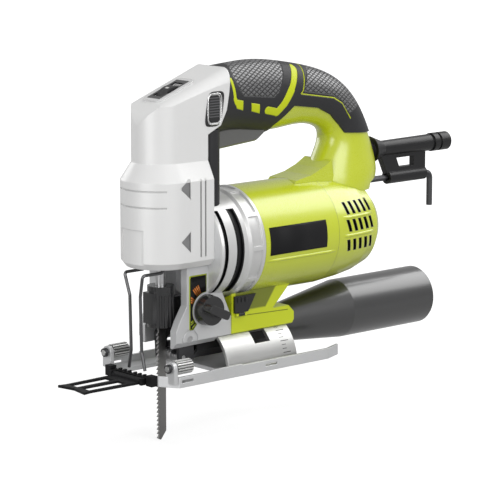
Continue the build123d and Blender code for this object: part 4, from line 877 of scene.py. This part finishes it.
# Works inside: gears, armature, field, bearings and brushes, seen only where the cover lets them.
stacked_steel = worked_metal("stacked_steel", (0.28, 0.28, 0.29), 0.45, (1.0, 0.02, 0.02), 0.5)
copper_wire = worked_metal("copper_wire", (0.70, 0.30, 0.13), 0.38, (0.3, 1.0, 1.0), 0.4)
bronze = worked_metal("bronze", (0.50, 0.33, 0.14), 0.42, (1.0, 1.0, 1.0), 0.2)
dress(ground_steel, "armature_shaft", "pinion", "drive_gear", "crank_pin", "gear_axle")
dress(ground_steel, "front_bearing", "rear_bearing")
dress(stacked_steel, "armature_core", "field_core")
dress(copper_wire, "armature_windings", "field_coils", "commutator")
dress(bronze, "lower_bush", "upper_bush")
dress(black_plastic, "fan_baffle", "cooling_fan", "brush_holders", "carbon_brushes")


# The studio: a white paper floor that keeps the shadow near the tool and is pure white further off, a big
# soft lamp on the left, a weaker one in front, one high behind that draws the highlights, a faint one on
# the right, and a plain white sky.
floor_height = cad_box[0][2] - 0.0005
floor_reach = 6.0
sweep = bpy.data.meshes.new("floor")
ways = ((-1, -1), (1, -1), (1, 1), (-1, 1))
corners = [(x * floor_reach, y * floor_reach, floor_height) for x, y in ways]
sweep.from_pydata(corners, [], [(0, 1, 2, 3)])
floor = bpy.data.objects.new("floor", sweep)
scene.collection.objects.link(floor)
paper_grey, mirrored_glow = (0.34, 0.34, 0.34, 1), 0.12
near_reach, far_reach, near_glow, far_glow = 0.35, 1.6, 0.78, 1.0
paper, build, place = new_finish("paper")
diffuse = build.node("ShaderNodeBsdfDiffuse", None, {"Color": paper_grey})
seen = build.node("ShaderNodeLightPath", output="Is Camera Ray")
glossy = build.node("ShaderNodeLightPath", output="Is Glossy Ray")
x, y, z = axes(build, place)
far = build.maths("POWER", x * x + y * y, 0.5)
ramp = {"Value": far, 1: near_reach, 2: far_reach, 3: near_glow, 4: far_glow}
white = build.node("ShaderNodeMapRange", None, ramp)
glow_strength = white * seen + mirrored_glow * glossy
glow = build.node("ShaderNodeEmission", None, {"Color": (1, 1, 1, 1), "Strength": glow_strength})
paper_surface = build.node("ShaderNodeAddShader", None, {0: diffuse, 1: glow})
build.node("ShaderNodeOutputMaterial", None, {"Surface": paper_surface})
sweep.materials.append(paper)

world = bpy.data.worlds.new("studio")
scene.world = world
world.use_nodes = True
world.node_tree.nodes.clear()
sky = Value(world.node_tree)
seen = sky.node("ShaderNodeLightPath", output="Is Camera Ray")
sky_light = 0.44
sky_strength = sky_light + (1 - sky_light) * seen
background = sky.node("ShaderNodeBackground", None, {"Color": (1, 1, 1, 1), "Strength": sky_strength})
sky.node("ShaderNodeOutputWorld", None, {"Surface": background})

for name, spot, size, power in (
    ("key_lamp", (0.2, 2.2, 1.1), 1.6, 26.0),
    ("front_lamp", (2.2, 0.4, 0.6), 1.4, 21.0),
    ("back_lamp", (-1.7, 0.3, 1.6), 1.8, 28.0),
    ("fill_lamp", (0.1, -2.3, 0.6), 1.2, 9.0),
):
    lamp_data = bpy.data.lights.new(name, "AREA")
    lamp_data.size = size
    lamp_data.energy = power
    lamp = bpy.data.objects.new(name, lamp_data)
    lamp.location = spot
    lamp.rotation_euler = (Vector(spot) - aim).to_track_quat("Z", "Y").to_euler()
    scene.collection.objects.link(lamp)
